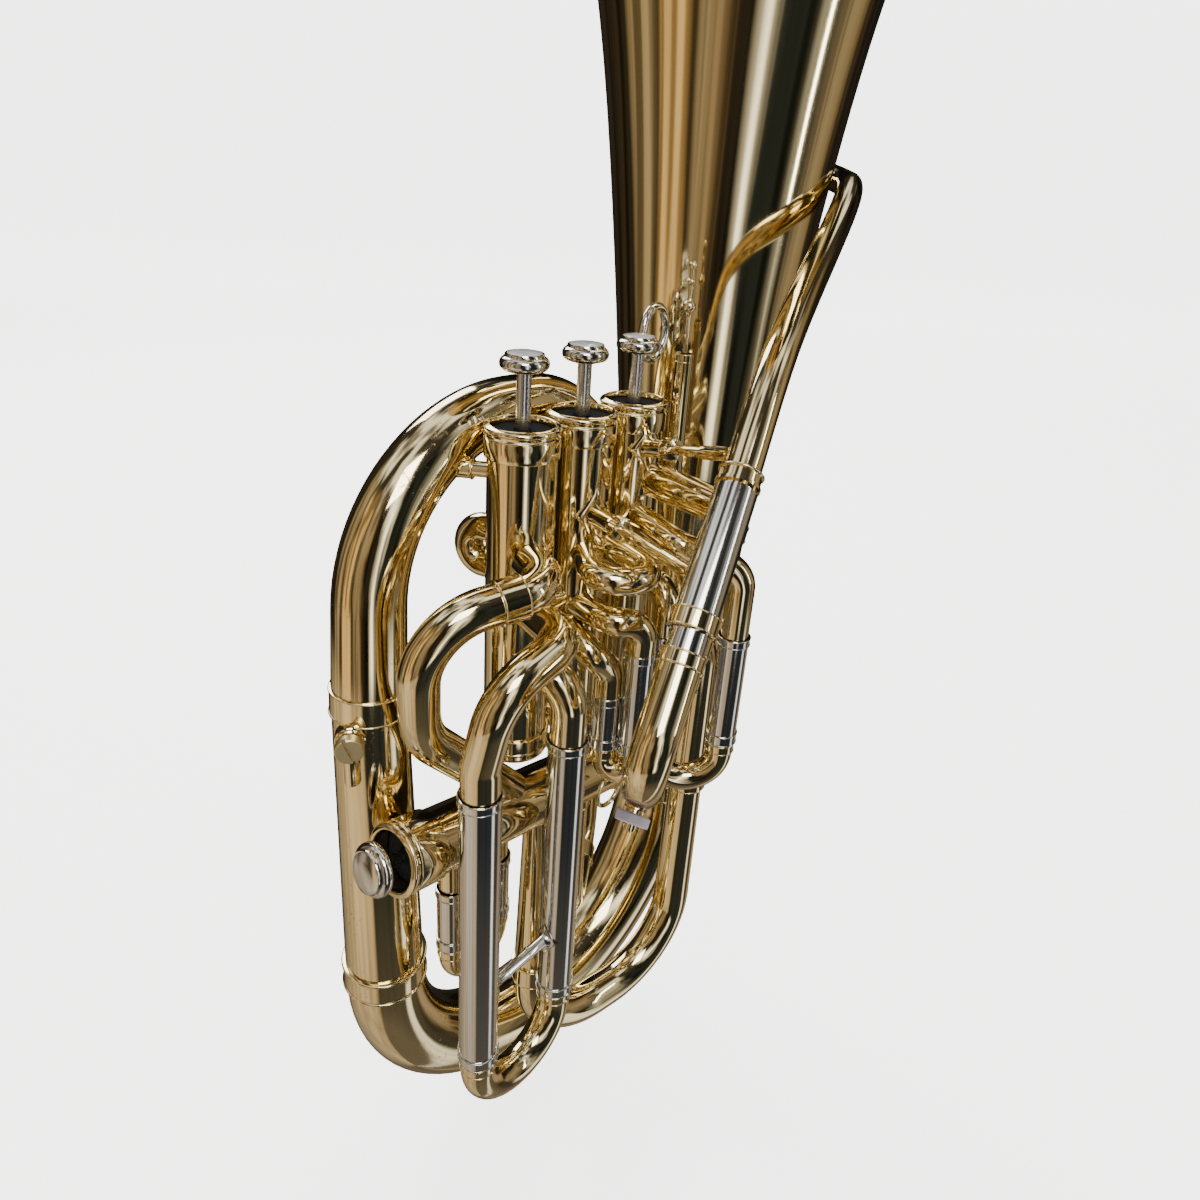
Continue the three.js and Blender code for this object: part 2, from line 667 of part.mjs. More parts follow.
function pullRing() {
  const [ax, ay] = SECOND.a;
  const [bx, by] = SECOND.b;
  const bottom = SECOND.low - 8 - Math.hypot(ax - bx, ay - by) / 2 - SECOND.radius + 0.7;
  return new THREE.TorusGeometry(9.4, 1.4, 5, 14).rotateX(Math.PI / 2)
    .translate(bx + (ax - bx) * 0.3, by + (ay - by) * 0.3, bottom - 8.6);
}

// ---- assembly ----
addPart('bell', bell(), BRASS);
addPart('bottom_bow', bottomBow(), BRASS);
addPart('bottom_guard', bottomGuard(), NICKEL);
addPart('branch_ferrule', ferrule(LEFT_X - 3, LEFT_Y - 2, SEAM_Z + 1, 20), NICKEL);
addPart('outer_branch', outerBranch(), BRASS);
addPart('top_bow', topBow(), BRASS);
addPart('inner_branch', innerBranch(), BRASS);
addPart('leadpipe', leadpipe(), BRASS);
addPart('mouthpiece_receiver', receiver(), NICKEL);
addPart('main_sleeve', mainSleeve(0), NICKEL);
addPart('main_return', mainReturn(), BRASS);
addPart('main_slide', mainSlide(), BRASS);
addPart('water_ring', waterRing(), GREY_RUBBER);
addPart('valve_block', valveBlock(), BRASS);
addPart('fourth_casing', fourthCasing(), BRASS);
addPart('fourth_loop', fourthLoop(), BRASS);
addValves();
addTubing();
addPart('first_slide', slideBow(FIRST), BRASS);
addPart('second_slide', join(slideBow(SECOND), pullRing()), BRASS);
addPart('third_slide', slideBow(THIRD), BRASS);
addPart('fourth_slide', slideBow(FOURTH), BRASS);
addPart('upper_leadpipe_stay', leadStay(VALVE_PITCH, -24, -10), BRASS);
addPart('lower_leadpipe_stay', leadStay(0, -52, 52), BRASS);
addPart('slide_stay', slideStay(), NICKEL);
addPart('thumb_ring', thumbRing(), NICKEL);
addPart('lyre_screw', lyreScrew(), BRASS);
addPart('trigger_barrel', triggerBarrel(), BRASS);
addPart('trigger_rod', triggerRod(), BRASS);

// Sets the instrument down with the origin under the middle of its box.
group.updateMatrixWorld(true);
const box = new THREE.Box3().setFromObject(group);
const middle = box.getCenter(new THREE.Vector3());
group.position.set(-middle.x, -middle.y, -box.min.z);

export default group;
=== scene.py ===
"""A four-valve tuba: the detailed visual model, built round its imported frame.

Lengths below are millimetres in the valve frame: its origin is the middle of
the second valve's cap at the height of the rim, X runs along the valve row
towards the bell, and Y towards the player. at() turns them into the row frame.
"""

import math

import bmesh
import bpy
from mathutils import Matrix, Vector


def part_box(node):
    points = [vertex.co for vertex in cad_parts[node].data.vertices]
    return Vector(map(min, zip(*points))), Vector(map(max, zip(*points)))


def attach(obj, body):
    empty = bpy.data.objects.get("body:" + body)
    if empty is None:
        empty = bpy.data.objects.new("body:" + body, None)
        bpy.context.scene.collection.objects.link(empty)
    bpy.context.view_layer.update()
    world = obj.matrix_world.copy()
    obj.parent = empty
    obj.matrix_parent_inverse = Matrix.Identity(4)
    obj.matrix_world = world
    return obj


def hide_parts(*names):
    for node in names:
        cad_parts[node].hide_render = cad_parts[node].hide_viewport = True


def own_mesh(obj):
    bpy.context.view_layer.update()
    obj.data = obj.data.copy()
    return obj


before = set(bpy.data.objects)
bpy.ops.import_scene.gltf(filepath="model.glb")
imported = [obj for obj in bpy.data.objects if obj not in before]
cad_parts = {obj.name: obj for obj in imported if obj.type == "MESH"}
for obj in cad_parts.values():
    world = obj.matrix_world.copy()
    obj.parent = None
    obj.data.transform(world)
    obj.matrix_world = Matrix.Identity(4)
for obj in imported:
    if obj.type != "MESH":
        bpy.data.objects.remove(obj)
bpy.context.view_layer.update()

MM = 0.001


def middle(node):
    low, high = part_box(node)
    return (low + high) / 2


ORIGIN = middle("top_cap_2")
ORIGIN.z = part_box("top_cap_2")[1].z


def at(x, y, z):
    return ORIGIN + Vector((x, y, z)) * MM


def in_valve_frame(point):
    return (point - ORIGIN) / MM


# ---- driving dimensions, taken from the frame where a node gives them ----
PITCH = in_valve_frame(middle("top_cap_1")).x
CASING_R = 17.25
CASING_BORE_R = 16.4
CASING_LENGTH = 180.0

FOURTH_CAP = (-131.0, -4.0, -207.0)
FOURTH_TILT = 0.185

BELL_X = in_valve_frame(middle("bell")).x
BELL_Y = in_valve_frame(middle("bell")).y
BELL_TOP_Z = in_valve_frame(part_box("bell")[1]).z
TAIL_Z = in_valve_frame(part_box("bell")[0]).z
LEFT_X = -108.0
LEFT_Y = 38.0
SEAM_Z = -140.0

BUTTON_Z = 24.0
BUTTON_R = 11.9
FOURTH_BUTTON_Z = 5.0
FOURTH_BUTTON_R = 13.7
FOURTH_SUNK = 7.0


# ---- camera, fitted to the photograph; its sizes are shares of the square frame ----
CAMERA_AT = at(-323.4, -279.1, 109.9)
CAMERA_RIGHT = Vector((0.6482, -0.7591, 0.0608))
CAMERA_UP = Vector((0.2533, 0.2902, 0.9228))
FOCAL_SHARE = 851.4 / 1200
AXIS_ABOVE_MIDDLE = 71 / 1200


def add_camera():
    data = bpy.data.cameras.new("photo_camera")
    camera = bpy.data.objects.new("photo_camera", data)
    bpy.context.collection.objects.link(camera)
    backward = CAMERA_RIGHT.cross(CAMERA_UP)
    turn = Matrix((CAMERA_RIGHT, CAMERA_UP, backward)).transposed()
    camera.matrix_world = Matrix.Translation(CAMERA_AT) @ turn.to_4x4()
    data.sensor_width = 36.0
    data.lens = FOCAL_SHARE * data.sensor_width
    data.shift_y = -AXIS_ABOVE_MIDDLE
    data.clip_start = 0.01
    bpy.context.scene.camera = camera


# ---- shapes: vertices in metres, faces, and one material slot per face ----
class Shape:
    """A mesh; slot is one number for all faces, or a list with a number for each."""

    def __init__(self, verts, faces, slot=0):
        self.verts = verts
        self.faces = faces
        self.slots = slot if isinstance(slot, list) else [slot] * len(faces)

    def moved(self, matrix):
        return Shape([matrix @ vert for vert in self.verts], self.faces, self.slots)


def joined(*shapes):
    whole = Shape([], [])
    for shape in shapes:
        start = len(whole.verts)
        whole.verts = whole.verts + list(shape.verts)
        whole.faces = whole.faces + [tuple(start + i for i in face) for face in shape.faces]
        whole.slots = whole.slots + list(shape.slots)
    return whole


def ring_faces(low, high, count):
    """The faces between two closed rings of vertices, from their first numbers."""
    faces = []
    for i in range(count):
        j = (i + 1) % count
        faces.append((low + i, low + j, high + j, high + i))
    return faces


def turned(profile, sides=64, slot=0):
    """A closed solid of revolution about Z from [radius, height] pairs in mm."""
    verts = []
    rows = []
    for radius, height in profile:
        if radius < 1e-6:
            rows.append([len(verts)] * sides)
            verts.append(Vector((0, 0, height)) * MM)
            continue
        rows.append(list(range(len(verts), len(verts) + sides)))
        for i in range(sides):
            angle = 2 * math.pi * i / sides
            verts.append(Vector((radius * math.cos(angle), radius * math.sin(angle), height)) * MM)
    pairs = list(zip(rows, rows[1:]))
    if profile[0][0] > 1e-6:
        pairs.append((rows[-1], rows[0]))
    faces = []
    for low, high in pairs:
        for i in range(sides):
            j = (i + 1) % sides
            corners = [low[i], low[j], high[j], high[i]]
            face = tuple(dict.fromkeys(corners))
            if len(face) > 2:
                faces.append(face)
    return Shape(verts, faces, slot)


def arc(centre, radius, start, end, steps=8):
    """Profile points round part of a circle; angles in degrees from +radius."""
    points = []
    for i in range(steps + 1):
        angle = math.radians(start + (end - start) * i / steps)
        points.append((centre[0] + radius * math.cos(angle), centre[1] + radius * math.sin(angle)))
    return points


def aim(point, direction):
    """The matrix that stands a Z-axis shape at a point, along a direction."""
    return Matrix.Translation(point) @ direction.to_track_quat("Z", "Y").to_matrix().to_4x4()


def bent(corners, bend_radius, degrees=5.0):
    """Straight runs between corner points, with a circular bend at each corner.

    Corners are in mm in the valve frame; the result is in metres in the row frame.
    """
    spots = [at(*corner) for corner in corners]
    points = [spots[0]]
    for i in range(1, len(spots) - 1):
        into = (spots[i] - spots[i - 1]).normalized()
        out = (spots[i + 1] - spots[i]).normalized()
        angle = into.angle(out)
        radius = (bend_radius[i - 1] if isinstance(bend_radius, (list, tuple)) else bend_radius) * MM
        start = spots[i] - into * radius * math.tan(angle / 2)
        inward = (out - into * out.dot(into)).normalized()
        centre = start + inward * radius
        parts = max(3, math.ceil(math.degrees(angle) / degrees))
        for k in range(parts + 1):
            turn = angle * k / parts
            points.append(centre - inward * radius * math.cos(turn) + into * radius * math.sin(turn))
    points.append(spots[-1])
    kept = [points[0]]
    for point in points[1:]:
        if (point - kept[-1]).length > 0.2 * MM:
            kept.append(point)
    return kept


def tangents(points):
    found = []
    for i in range(len(points)):
        before = points[max(i - 1, 0)]
        after = points[min(i + 1, len(points) - 1)]
        found.append((after - before).normalized())
    return found


def shares(points):
    """Share of the route's length reached at each of its points."""
    lengths = [0.0]
    for i in range(1, len(points)):
        lengths.append(lengths[-1] + (points[i] - points[i - 1]).length)
    return [length / lengths[-1] for length in lengths]


def rings_along(points, radius_at, sides):
    directions = tangents(points)
    across = directions[0].orthogonal().normalized()
    rings = []
    for i, (point, share) in enumerate(zip(points, shares(points))):
        if i:
            across = directions[i - 1].rotation_difference(directions[i]) @ across
        beside = directions[i].cross(across)
        radius = radius_at(share) * MM
        ring = []
        for k in range(sides):
            angle = 2 * math.pi * k / sides
            ring.append(point + (across * math.cos(angle) + beside * math.sin(angle)) * radius)
        rings.append(ring)
    return rings


def tube(points, radius, sides=40, bore=None, slot=0):
    """A round tube along a route, solid or hollow; radius in mm or a function of share."""
    radius_at = radius if callable(radius) else lambda share: radius
    outer = rings_along(points, radius_at, sides)
    verts = [vert for ring in outer for vert in ring]
    faces = []
    for i in range(len(outer) - 1):
        faces.extend(ring_faces(i * sides, (i + 1) * sides, sides))
    last = (len(outer) - 1) * sides
    if bore is None:
        faces.append(tuple(range(sides))[::-1])
        faces.append(tuple(last + k for k in range(sides)))
        return Shape(verts, faces, slot)
    bore_at = bore if callable(bore) else lambda share: bore
    inner = rings_along(points, bore_at, sides)
    base = len(verts)
    verts = verts + [vert for ring in inner for vert in ring]
    inward = ring_faces(0, base, sides)
    for i in range(len(inner) - 1):
        inward.extend(ring_faces(base + i * sides, base + (i + 1) * sides, sides))
    faces.extend(face[::-1] for face in inward)
    faces.extend(ring_faces(last, base + last, sides))
    return Shape(verts, faces, slot)


def taper(start, end):
    return lambda share: start + (end - start) * share


def place_on(points, share):
    """(point, direction) at a share of a route's length."""
    done = shares(points)
    for i in range(1, len(points)):
        if done[i] >= share:
            mix = (share - done[i - 1]) / (done[i] - done[i - 1])
            return points[i - 1].lerp(points[i], mix), (points[i] - points[i - 1]).normalized()
    return points[-1], (points[-1] - points[-2]).normalized()


def ferrule_profile(radius, length, wall=0.8, bead=0.45):
    """A sleeve round a tube of that radius, with a rounded bead at both ends."""
    inside = radius - 1.2
    skin = radius + wall
    half = length / 2
    return [
        (inside, -half),
        *arc((skin, -half + bead), bead, -90, 90, 6),
        (skin, -half + 2.4 * bead),
        (skin, half - 2.4 * bead),
        *arc((skin, half - bead), bead, -90, 90, 6),
        (inside, half),
    ]


def ferrule(point, direction, radius, length, slot=0, wall=0.8, bead=0.45, sides=48):
    return turned(ferrule_profile(radius, length, wall, bead), sides, slot).moved(aim(point, direction))


def ferrule_on(points, share, radius, length, slot=0, wall=0.8, bead=0.45):
    point, direction = place_on(points, share)
    return ferrule(point, direction, radius, length, slot, wall, bead)


def piece(name, shape, looks, body, *nodes, sharp=32):
    """Makes a Blender object of a shape, with materials, on a CAD body."""
    mesh = bpy.data.meshes.new(name)
    mesh.from_pydata([tuple(vert) for vert in shape.verts], [], shape.faces)
    for face, slot in zip(mesh.polygons, shape.slots):
        face.material_index = slot
    work = bmesh.new()
    work.from_mesh(mesh)
    bmesh.ops.remove_doubles(work, verts=work.verts, dist=1e-7)
    bmesh.ops.recalc_face_normals(work, faces=work.faces)
    work.to_mesh(mesh)
    work.free()
    mesh.polygons.foreach_set("use_smooth", [True] * len(mesh.polygons))
    mesh.set_sharp_from_angle(angle=math.radians(sharp))
    for look in looks:
        mesh.materials.append(look)
    made = bpy.data.objects.new(name, mesh)
    bpy.context.collection.objects.link(made)
    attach(made, body)
    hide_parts(*nodes)
    return made


# ---- materials ----
class NodeKit:
    """Writes the nodes of a material or a world; add() makes one and links its inputs."""

    def __init__(self, tree, coordinates):
        self.nodes = tree.nodes
        self.links = tree.links
        self.place = self.add("ShaderNodeTexCoord").outputs[coordinates]

    def add(self, kind, **values):
        node = self.nodes.new(kind)
        for key, value in values.items():
            if key in node.inputs:
                self.put(node.inputs[key], value)
            else:
                setattr(node, key, value)
        return node

    def put(self, socket, value):
        if isinstance(value, bpy.types.NodeSocket):
            self.links.new(value, socket)
        else:
            socket.default_value = value

    def noise(self, scale, detail=3.0, rough=0.5, stretch=None):
        where = self.place
        if stretch:
            where = self.add("ShaderNodeMapping", Vector=self.place, Scale=stretch).outputs["Vector"]
        node = self.add("ShaderNodeTexNoise", Vector=where, Scale=scale, Detail=detail, Roughness=rough)
        return node.outputs["Fac"]

    def ramp(self, value, *stops):
        node = self.add("ShaderNodeValToRGB", Fac=value)
        elements = node.color_ramp.elements
        while len(elements) < len(stops):
            elements.new(0.5)
        for element, (position, colour) in zip(elements, stops):
            element.position = position
            element.color = (*colour, 1.0)
        return node.outputs["Color"]

    def mix(self, amount, one, two, blend="MIX"):
        node = self.add("ShaderNodeMix", data_type="RGBA", blend_type=blend, Factor=amount)
        self.put(node.inputs[6], one)
        self.put(node.inputs[7], two)
        return node.outputs[2]

    def math(self, operation, *values):
        node = self.add("ShaderNodeMath", operation=operation)
        for socket, value in zip(node.inputs, values):
            self.put(socket, value)
        return node.outputs[0]

    def dot(self, one, direction):
        node = self.add("ShaderNodeVectorMath", operation="DOT_PRODUCT")
        self.put(node.inputs[0], one)
        self.put(node.inputs[1], direction)
        return node.outputs["Value"]


class Look(NodeKit):
    """A node material being written."""

    def __init__(self, name, record_slot):
        self.material = bpy.data.materials.new(name)
        self.material.use_nodes = True
        self.material["record_slot"] = record_slot
        super().__init__(self.material.node_tree, "Object")
        self.shader = self.nodes["Principled BSDF"]

    def set(self, **values):
        for key, value in values.items():
            self.put(self.shader.inputs[key.replace("_", " ")], value)

    def span(self, value, low, high):
        """Maps a 0 to 1 value to the range from low to high."""
        node = self.add("ShaderNodeMapRange", Value=value)
        node.inputs["To Min"].default_value = low
        node.inputs["To Max"].default_value = high
        return node.outputs["Result"]

    def bump(self, height, distance, strength=1.0, normal=None):
        node = self.add("ShaderNodeBump", Height=height, Distance=distance, Strength=strength)
        if normal:
            self.links.new(normal, node.inputs["Normal"])
        return node.outputs["Normal"]


BRASS_GOLD = (0.80, 0.65, 0.34, 1)
BRASS_PALE = (0.85, 0.75, 0.48, 1)
BRASS_WORN = (0.42, 0.22, 0.08, 1)


def lacquered_brass(name, specks=0.0, pale=0.35, satin=0.0):
    """Polished brass under lacquer, with faint waves, hairlines and tarnish specks."""
    look = Look(name, "lacquered_brass")
    wide = look.noise(9.0, 4.0)
    tone = look.mix(look.span(wide, 0.0, 2 * pale), BRASS_GOLD, BRASS_PALE)
    spots = look.ramp(look.noise(420.0, 2.0, 0.6), (0.60, (0, 0, 0)), (0.70, (1, 1, 1)))
    zone = look.ramp(
        look.noise(22.0, 2.0),
        (0.66 - 0.25 * specks, (0, 0, 0)), (0.80 - 0.2 * specks, (1, 1, 1)),
    )
    amount = look.span(look.math("MULTIPLY", spots, zone), 0.0, 0.25 + 0.6 * specks)
    colour = look.mix(amount, tone, BRASS_WORN)
    hairs = look.noise(900.0, 2.0, 0.7, stretch=(1.0, 1.0, 0.06))
    grain = look.noise(160.0, 3.0)
    polish = look.span(hairs, 0.05 + satin, 0.11 + satin)
    rough = look.math("ADD", polish, look.span(amount, 0.0, 0.35))
    waves = look.bump(look.noise(24.0, 2.0), 0.0003, 0.10)
    skin = look.bump(grain, 0.00002, 0.10, waves)
    look.set(Base_Color=colour, Metallic=1.0, Roughness=rough, Normal=skin,
             Coat_Weight=0.15, Coat_Roughness=0.03, Coat_IOR=1.5)
    return look.material


def nickel_silver(name):
    look = Look(name, "nickel_silver")
    tone = look.mix(look.noise(30.0, 3.0), (0.60, 0.59, 0.56, 1), (0.70, 0.69, 0.66, 1))
    hairs = look.noise(1200.0, 2.0, 0.7, stretch=(1.0, 1.0, 0.05))
    skin = look.bump(look.noise(60.0, 2.0), 0.0001, 0.2)
    look.set(Base_Color=tone, Metallic=1.0, Roughness=look.span(hairs, 0.06, 0.16), Normal=skin)
    return look.material


def valve_steel(name):
    look = Look(name, "valve_steel")
    tone = look.mix(look.noise(40.0, 3.0), (0.52, 0.53, 0.55, 1), (0.66, 0.66, 0.68, 1))
    rings = look.noise(700.0, 2.0, 0.6, stretch=(0.1, 0.1, 1.0))
    look.set(Base_Color=tone, Metallic=1.0, Roughness=look.span(rings, 0.16, 0.32),
             Normal=look.bump(rings, 0.00002, 0.3))
    return look.material


def black_felt(name):
    look = Look(name, "black_felt")
    fuzz = look.noise(1500.0, 5.0, 0.7)
    tone = look.mix(fuzz, (0.003, 0.003, 0.0035, 1), (0.014, 0.0135, 0.0145, 1))
    look.set(Base_Color=tone, Roughness=0.95, Normal=look.bump(fuzz, 0.0004, 0.8),
             Sheen_Weight=0.02, Sheen_Roughness=0.5, Specular_IOR_Level=0.08)
    return look.material


def grey_nylon(name):
    look = Look(name, "grey_rubber")
    tone = look.mix(look.noise(150.0, 4.0), (0.12, 0.115, 0.13, 1), (0.20, 0.19, 0.21, 1))
    look.set(Base_Color=tone, Roughness=look.span(look.noise(300.0), 0.38, 0.6),
             Normal=look.bump(look.noise(500.0), 0.00008, 0.4), Subsurface_Weight=0.05)
    return look.material


def pearl(name):
    """Mother of pearl: pale, with soft swirls of grey and rose."""
    look = Look(name, "nickel_silver")
    swirl = look.add("ShaderNodeTexWave", Vector=look.place, Scale=40.0, Distortion=14.0, Detail=3.0)
    tone = look.ramp(
        swirl.outputs["Fac"],
        (0.0, (0.52, 0.54, 0.56)), (0.5, (0.72, 0.70, 0.72)), (1.0, (0.62, 0.66, 0.65)),
    )
    look.set(Base_Color=tone, Roughness=0.18, Coat_Weight=0.8, Coat_Roughness=0.05,
             Normal=look.bump(swirl.outputs["Fac"], 0.00005, 0.3))
    return look.material


BRASS = lacquered_brass("polished_brass")
SPECKLED = lacquered_brass("speckled_brass", specks=0.8)
SATIN = lacquered_brass("satin_brass", pale=0.5, satin=0.35)
NICKEL = nickel_silver("polished_nickel")
STEEL = valve_steel("piston_steel")
FELT = black_felt("cap_felt")
NYLON = grey_nylon("grey_nylon")
PEARL = pearl("button_pearl")


# ---- floor and light ----
def add_light(name, spot, target, size, power, colour=(1, 1, 1), size_y=None):
    data = bpy.data.lights.new(name, "AREA")
    data.shape = "RECTANGLE"
    data.size = size
    data.size_y = size_y or size
    data.energy = power
    data.color = colour
    lamp = bpy.data.objects.new(name, data)
    bpy.context.collection.objects.link(lamp)
    lamp.matrix_world = aim(Vector(spot), Vector(spot) - Vector(target))
    return lamp


# The studio round the object, as seen in its polish: reflector panels, flags and
# a bright gap, by degrees to the right of the direction that faces the camera.
PANELS = [
    (-180, (0.020, 0.018, 0.015)), (-128, (0.040, 0.032, 0.024)), (-112, (0.030, 0.024, 0.018)),
    (-104, (0.34, 0.27, 0.18)), (-84, (0.52, 0.42, 0.28)), (-76, (0.06, 0.048, 0.034)),
    (-70, (0.95, 0.66, 0.33)), (-46, (1.00, 0.70, 0.36)), (-41, (0.10, 0.08, 0.055)),
    (-30, (0.48, 0.38, 0.26)), (-16, (0.36, 0.27, 0.17)), (-10, (0.030, 0.024, 0.018)),
    (6, (0.026, 0.023, 0.020)),
    (12, (1.4, 1.38, 1.34)), (19, (2.8, 2.75, 2.7)), (25, (1.1, 1.08, 1.05)), (31, (0.022, 0.027, 0.028)),
    (55, (0.026, 0.032, 0.033)), (64, (0.24, 0.25, 0.24)), (70, (0.7, 0.68, 0.62)), (77, (0.05, 0.052, 0.05)),
    (96, (0.40, 0.33, 0.23)), (112, (0.24, 0.18, 0.11)), (122, (0.025, 0.021, 0.018)),
    (150, (0.022, 0.020, 0.016)), (180, (0.020, 0.018, 0.015)),
]
# The same, for what the polish sees lower down, towards the floor.
LOW_PANELS = [
    (-180, (0.020, 0.018, 0.015)), (-140, (0.035, 0.028, 0.02)), (-126, (0.36, 0.29, 0.20)),
    (-90, (0.75, 0.60, 0.42)), (-50, (1.05, 0.84, 0.60)), (-14, (0.80, 0.62, 0.42)),
    (-7, (0.030, 0.030, 0.028)), (20, (0.034, 0.038, 0.040)), (68, (0.036, 0.041, 0.043)),
    (75, (2.0, 2.0, 1.95)), (83, (2.0, 1.95, 1.85)), (89, (0.06, 0.06, 0.055)), (108, (0.07, 0.055, 0.04)),
    (116, (0.46, 0.36, 0.25)), (140, (0.36, 0.28, 0.19)), (150, (0.022, 0.020, 0.016)),
    (180, (0.020, 0.018, 0.015)),
]


def add_world():
    world = bpy.data.worlds.new("studio")
    bpy.context.scene.world = world
    world.use_nodes = True
    kit = NodeKit(world.node_tree, "Generated")
    background = kit.nodes["Background"]
    rightward = CAMERA_RIGHT.copy()
    rightward.z = 0
    rightward.normalize()
    facing = Vector((rightward.y, -rightward.x, 0))
    angle = kit.math("ARCTAN2", kit.dot(kit.place, rightward), kit.dot(kit.place, facing))
    sway = kit.math("MULTIPLY", kit.math("SUBTRACT", kit.noise(2.2, 2.0), 0.5), 0.05)
    turn = kit.math("ADD", kit.math("ADD", kit.math("DIVIDE", angle, 2 * math.pi), 0.5), sway)
    ring = lambda stops: kit.ramp(turn, *[((degrees + 180) / 360, colour) for degrees, colour in stops])
    height = kit.math("ADD", kit.math("MULTIPLY", kit.dot(kit.place, (0, 0, 1)), 0.5), 0.5)
    sunken = kit.ramp(height, (0.255, (1, 1, 1)), (0.285, (0, 0, 0)))
    streaks = kit.noise(7.0, 2.0, stretch=(1.0, 1.0, 0.12))
    streaks = kit.ramp(streaks, (0.40, (0.16, 0.14, 0.12)), (0.56, (1.1, 1.1, 1.1)))
    walls = kit.mix(
        sunken,
        kit.mix(0.8, ring(PANELS), streaks, "MULTIPLY"),
        kit.mix(0.35, ring(LOW_PANELS), streaks, "MULTIPLY"),
    )
    ceiling = kit.ramp(
        kit.noise(3.5, 1.0),
        (0.46, (0.05, 0.044, 0.038)), (0.54, (0.50, 0.48, 0.44)), (0.64, (1.5, 1.48, 1.44)),
    )
    upper = kit.ramp(height, (0.76, (0, 0, 0)), (0.84, (1, 1, 1)))
    lower = kit.ramp(height, (0.06, (1, 1, 1)), (0.16, (0, 0, 0)))
    ground = kit.mix(0.5, walls, (0.30, 0.25, 0.19, 1))
    whole = kit.mix(lower, kit.mix(upper, walls, ceiling), ground)
    path = kit.add("ShaderNodeLightPath")
    seen = kit.mix(path.outputs["Is Camera Ray"], whole, (2.9, 2.9, 2.88, 1))
    kit.put(background.inputs["Color"], seen)
    kit.put(background.inputs["Strength"], 1.0)


def add_floor():
    """A pale floor that curves up into a wall far behind the object."""
    back = 7.0
    bend = 3.0
    tall = 9.0
    outline = [(-9.0, 0.0), (back - bend, 0.0)]
    for i in range(1, 13):
        angle = math.radians(90 * i / 12)
        outline.append((back - bend + bend * math.sin(angle), bend - bend * math.cos(angle)))
    outline.append((back, tall))
    forward = Vector((-CAMERA_RIGHT.y, CAMERA_RIGHT.x, 0)).normalized()
    side = Vector((forward.y, -forward.x, 0))
    verts = []
    faces = []
    for i, (distance, height) in enumerate(outline):
        for reach in (-14.0, 14.0):
            verts.append(forward * distance + side * reach + Vector((0, 0, height - 0.0005)))
        if i:
            faces.append((2 * i - 2, 2 * i - 1, 2 * i + 1, 2 * i))
    mesh = bpy.data.meshes.new("studio_floor")
    mesh.from_pydata([tuple(vert) for vert in verts], [], faces)
    mesh.polygons.foreach_set("use_smooth", [True] * len(mesh.polygons))
    floor = bpy.data.objects.new("studio_floor", mesh)
    bpy.context.collection.objects.link(floor)
    look = Look("studio_floor", "none")
    tone = look.mix(look.noise(2.0, 2.0), (0.86, 0.86, 0.85, 1), (0.89, 0.89, 0.88, 1))
    look.set(Base_Color=tone, Roughness=0.7, Emission_Color=(1, 1, 1, 1), Emission_Strength=3.0)
    mesh.materials.append(look.material)
    floor.visible_glossy = False


def add_studio():
    add_floor()
    add_world()
    middle_point = (0.0, 0.0, 0.45)
    add_light("key", (-1.5, -1.6, 2.4), middle_point, 1.2, 40.0)
    add_light("strip_right", (0.9, -2.1, 0.9), middle_point, 0.12, 7.0, size_y=1.6)
    add_light("back", (0.6, 2.0, 2.0), middle_point, 1.2, 30.0)


# ---- bell and main branches ----
THROAT_R = 60.0
THROAT_Z = 60.0
THROAT_GROWTH = 583.0
FLARE_R = 99.0
FLARE_GROWTH = 45.0


def bell_radius(z):
    throat = THROAT_R * math.exp((z - THROAT_Z) / THROAT_GROWTH)
    return throat + FLARE_R * math.exp((z - BELL_TOP_Z) / FLARE_GROWTH)


def add_bell():
    wall = 1.4
    steps = 90
    heights = [TAIL_Z + (BELL_TOP_Z - 3 - TAIL_Z) * (1 - (1 - i / steps) ** 1.6) for i in range(steps + 1)]
    outside = [(bell_radius(z), z) for z in heights]
    lip = bell_radius(BELL_TOP_Z - 3)
    rim = arc((lip + 0.3, BELL_TOP_Z - 2.7), 2.7, -80, 180, 14)
    inside = [(radius - wall, z) for radius, z in reversed(outside[:-1])]
    shell = turned([*outside, *rim, *inside], 128).moved(Matrix.Translation(at(BELL_X, BELL_Y, 0)))
    piece("bell_shell", shell, [BRASS], "horn", "bell", sharp=40)


BOW_DROP = (BELL_X - LEFT_X) / 2


def bottom_route():
    low = TAIL_Z - BOW_DROP
    return bent([
        (BELL_X, BELL_Y, TAIL_Z), (BELL_X, BELL_Y, low), (LEFT_X, LEFT_Y, low), (LEFT_X, LEFT_Y, TAIL_Z),
    ], BOW_DROP - 1, 4)


def add_bottom_bow():
    route = bottom_route()
    bow = tube(route, taper(bell_radius(TAIL_Z), 22.5), 64)
    up = Vector((0, 0, 1))
    shape = joined(
        bow,
        ferrule(at(BELL_X, BELL_Y, TAIL_Z + 3), up, bell_radius(TAIL_Z), 16, 0, 1.2, 0.8, 72),
        ferrule(at(LEFT_X, LEFT_Y, TAIL_Z + 3), up, 22.6, 16, 0, 1.2, 0.8, 72),
    )
    piece("bottom_bow_tube", shape, [SPECKLED], "horn", "bottom_bow")


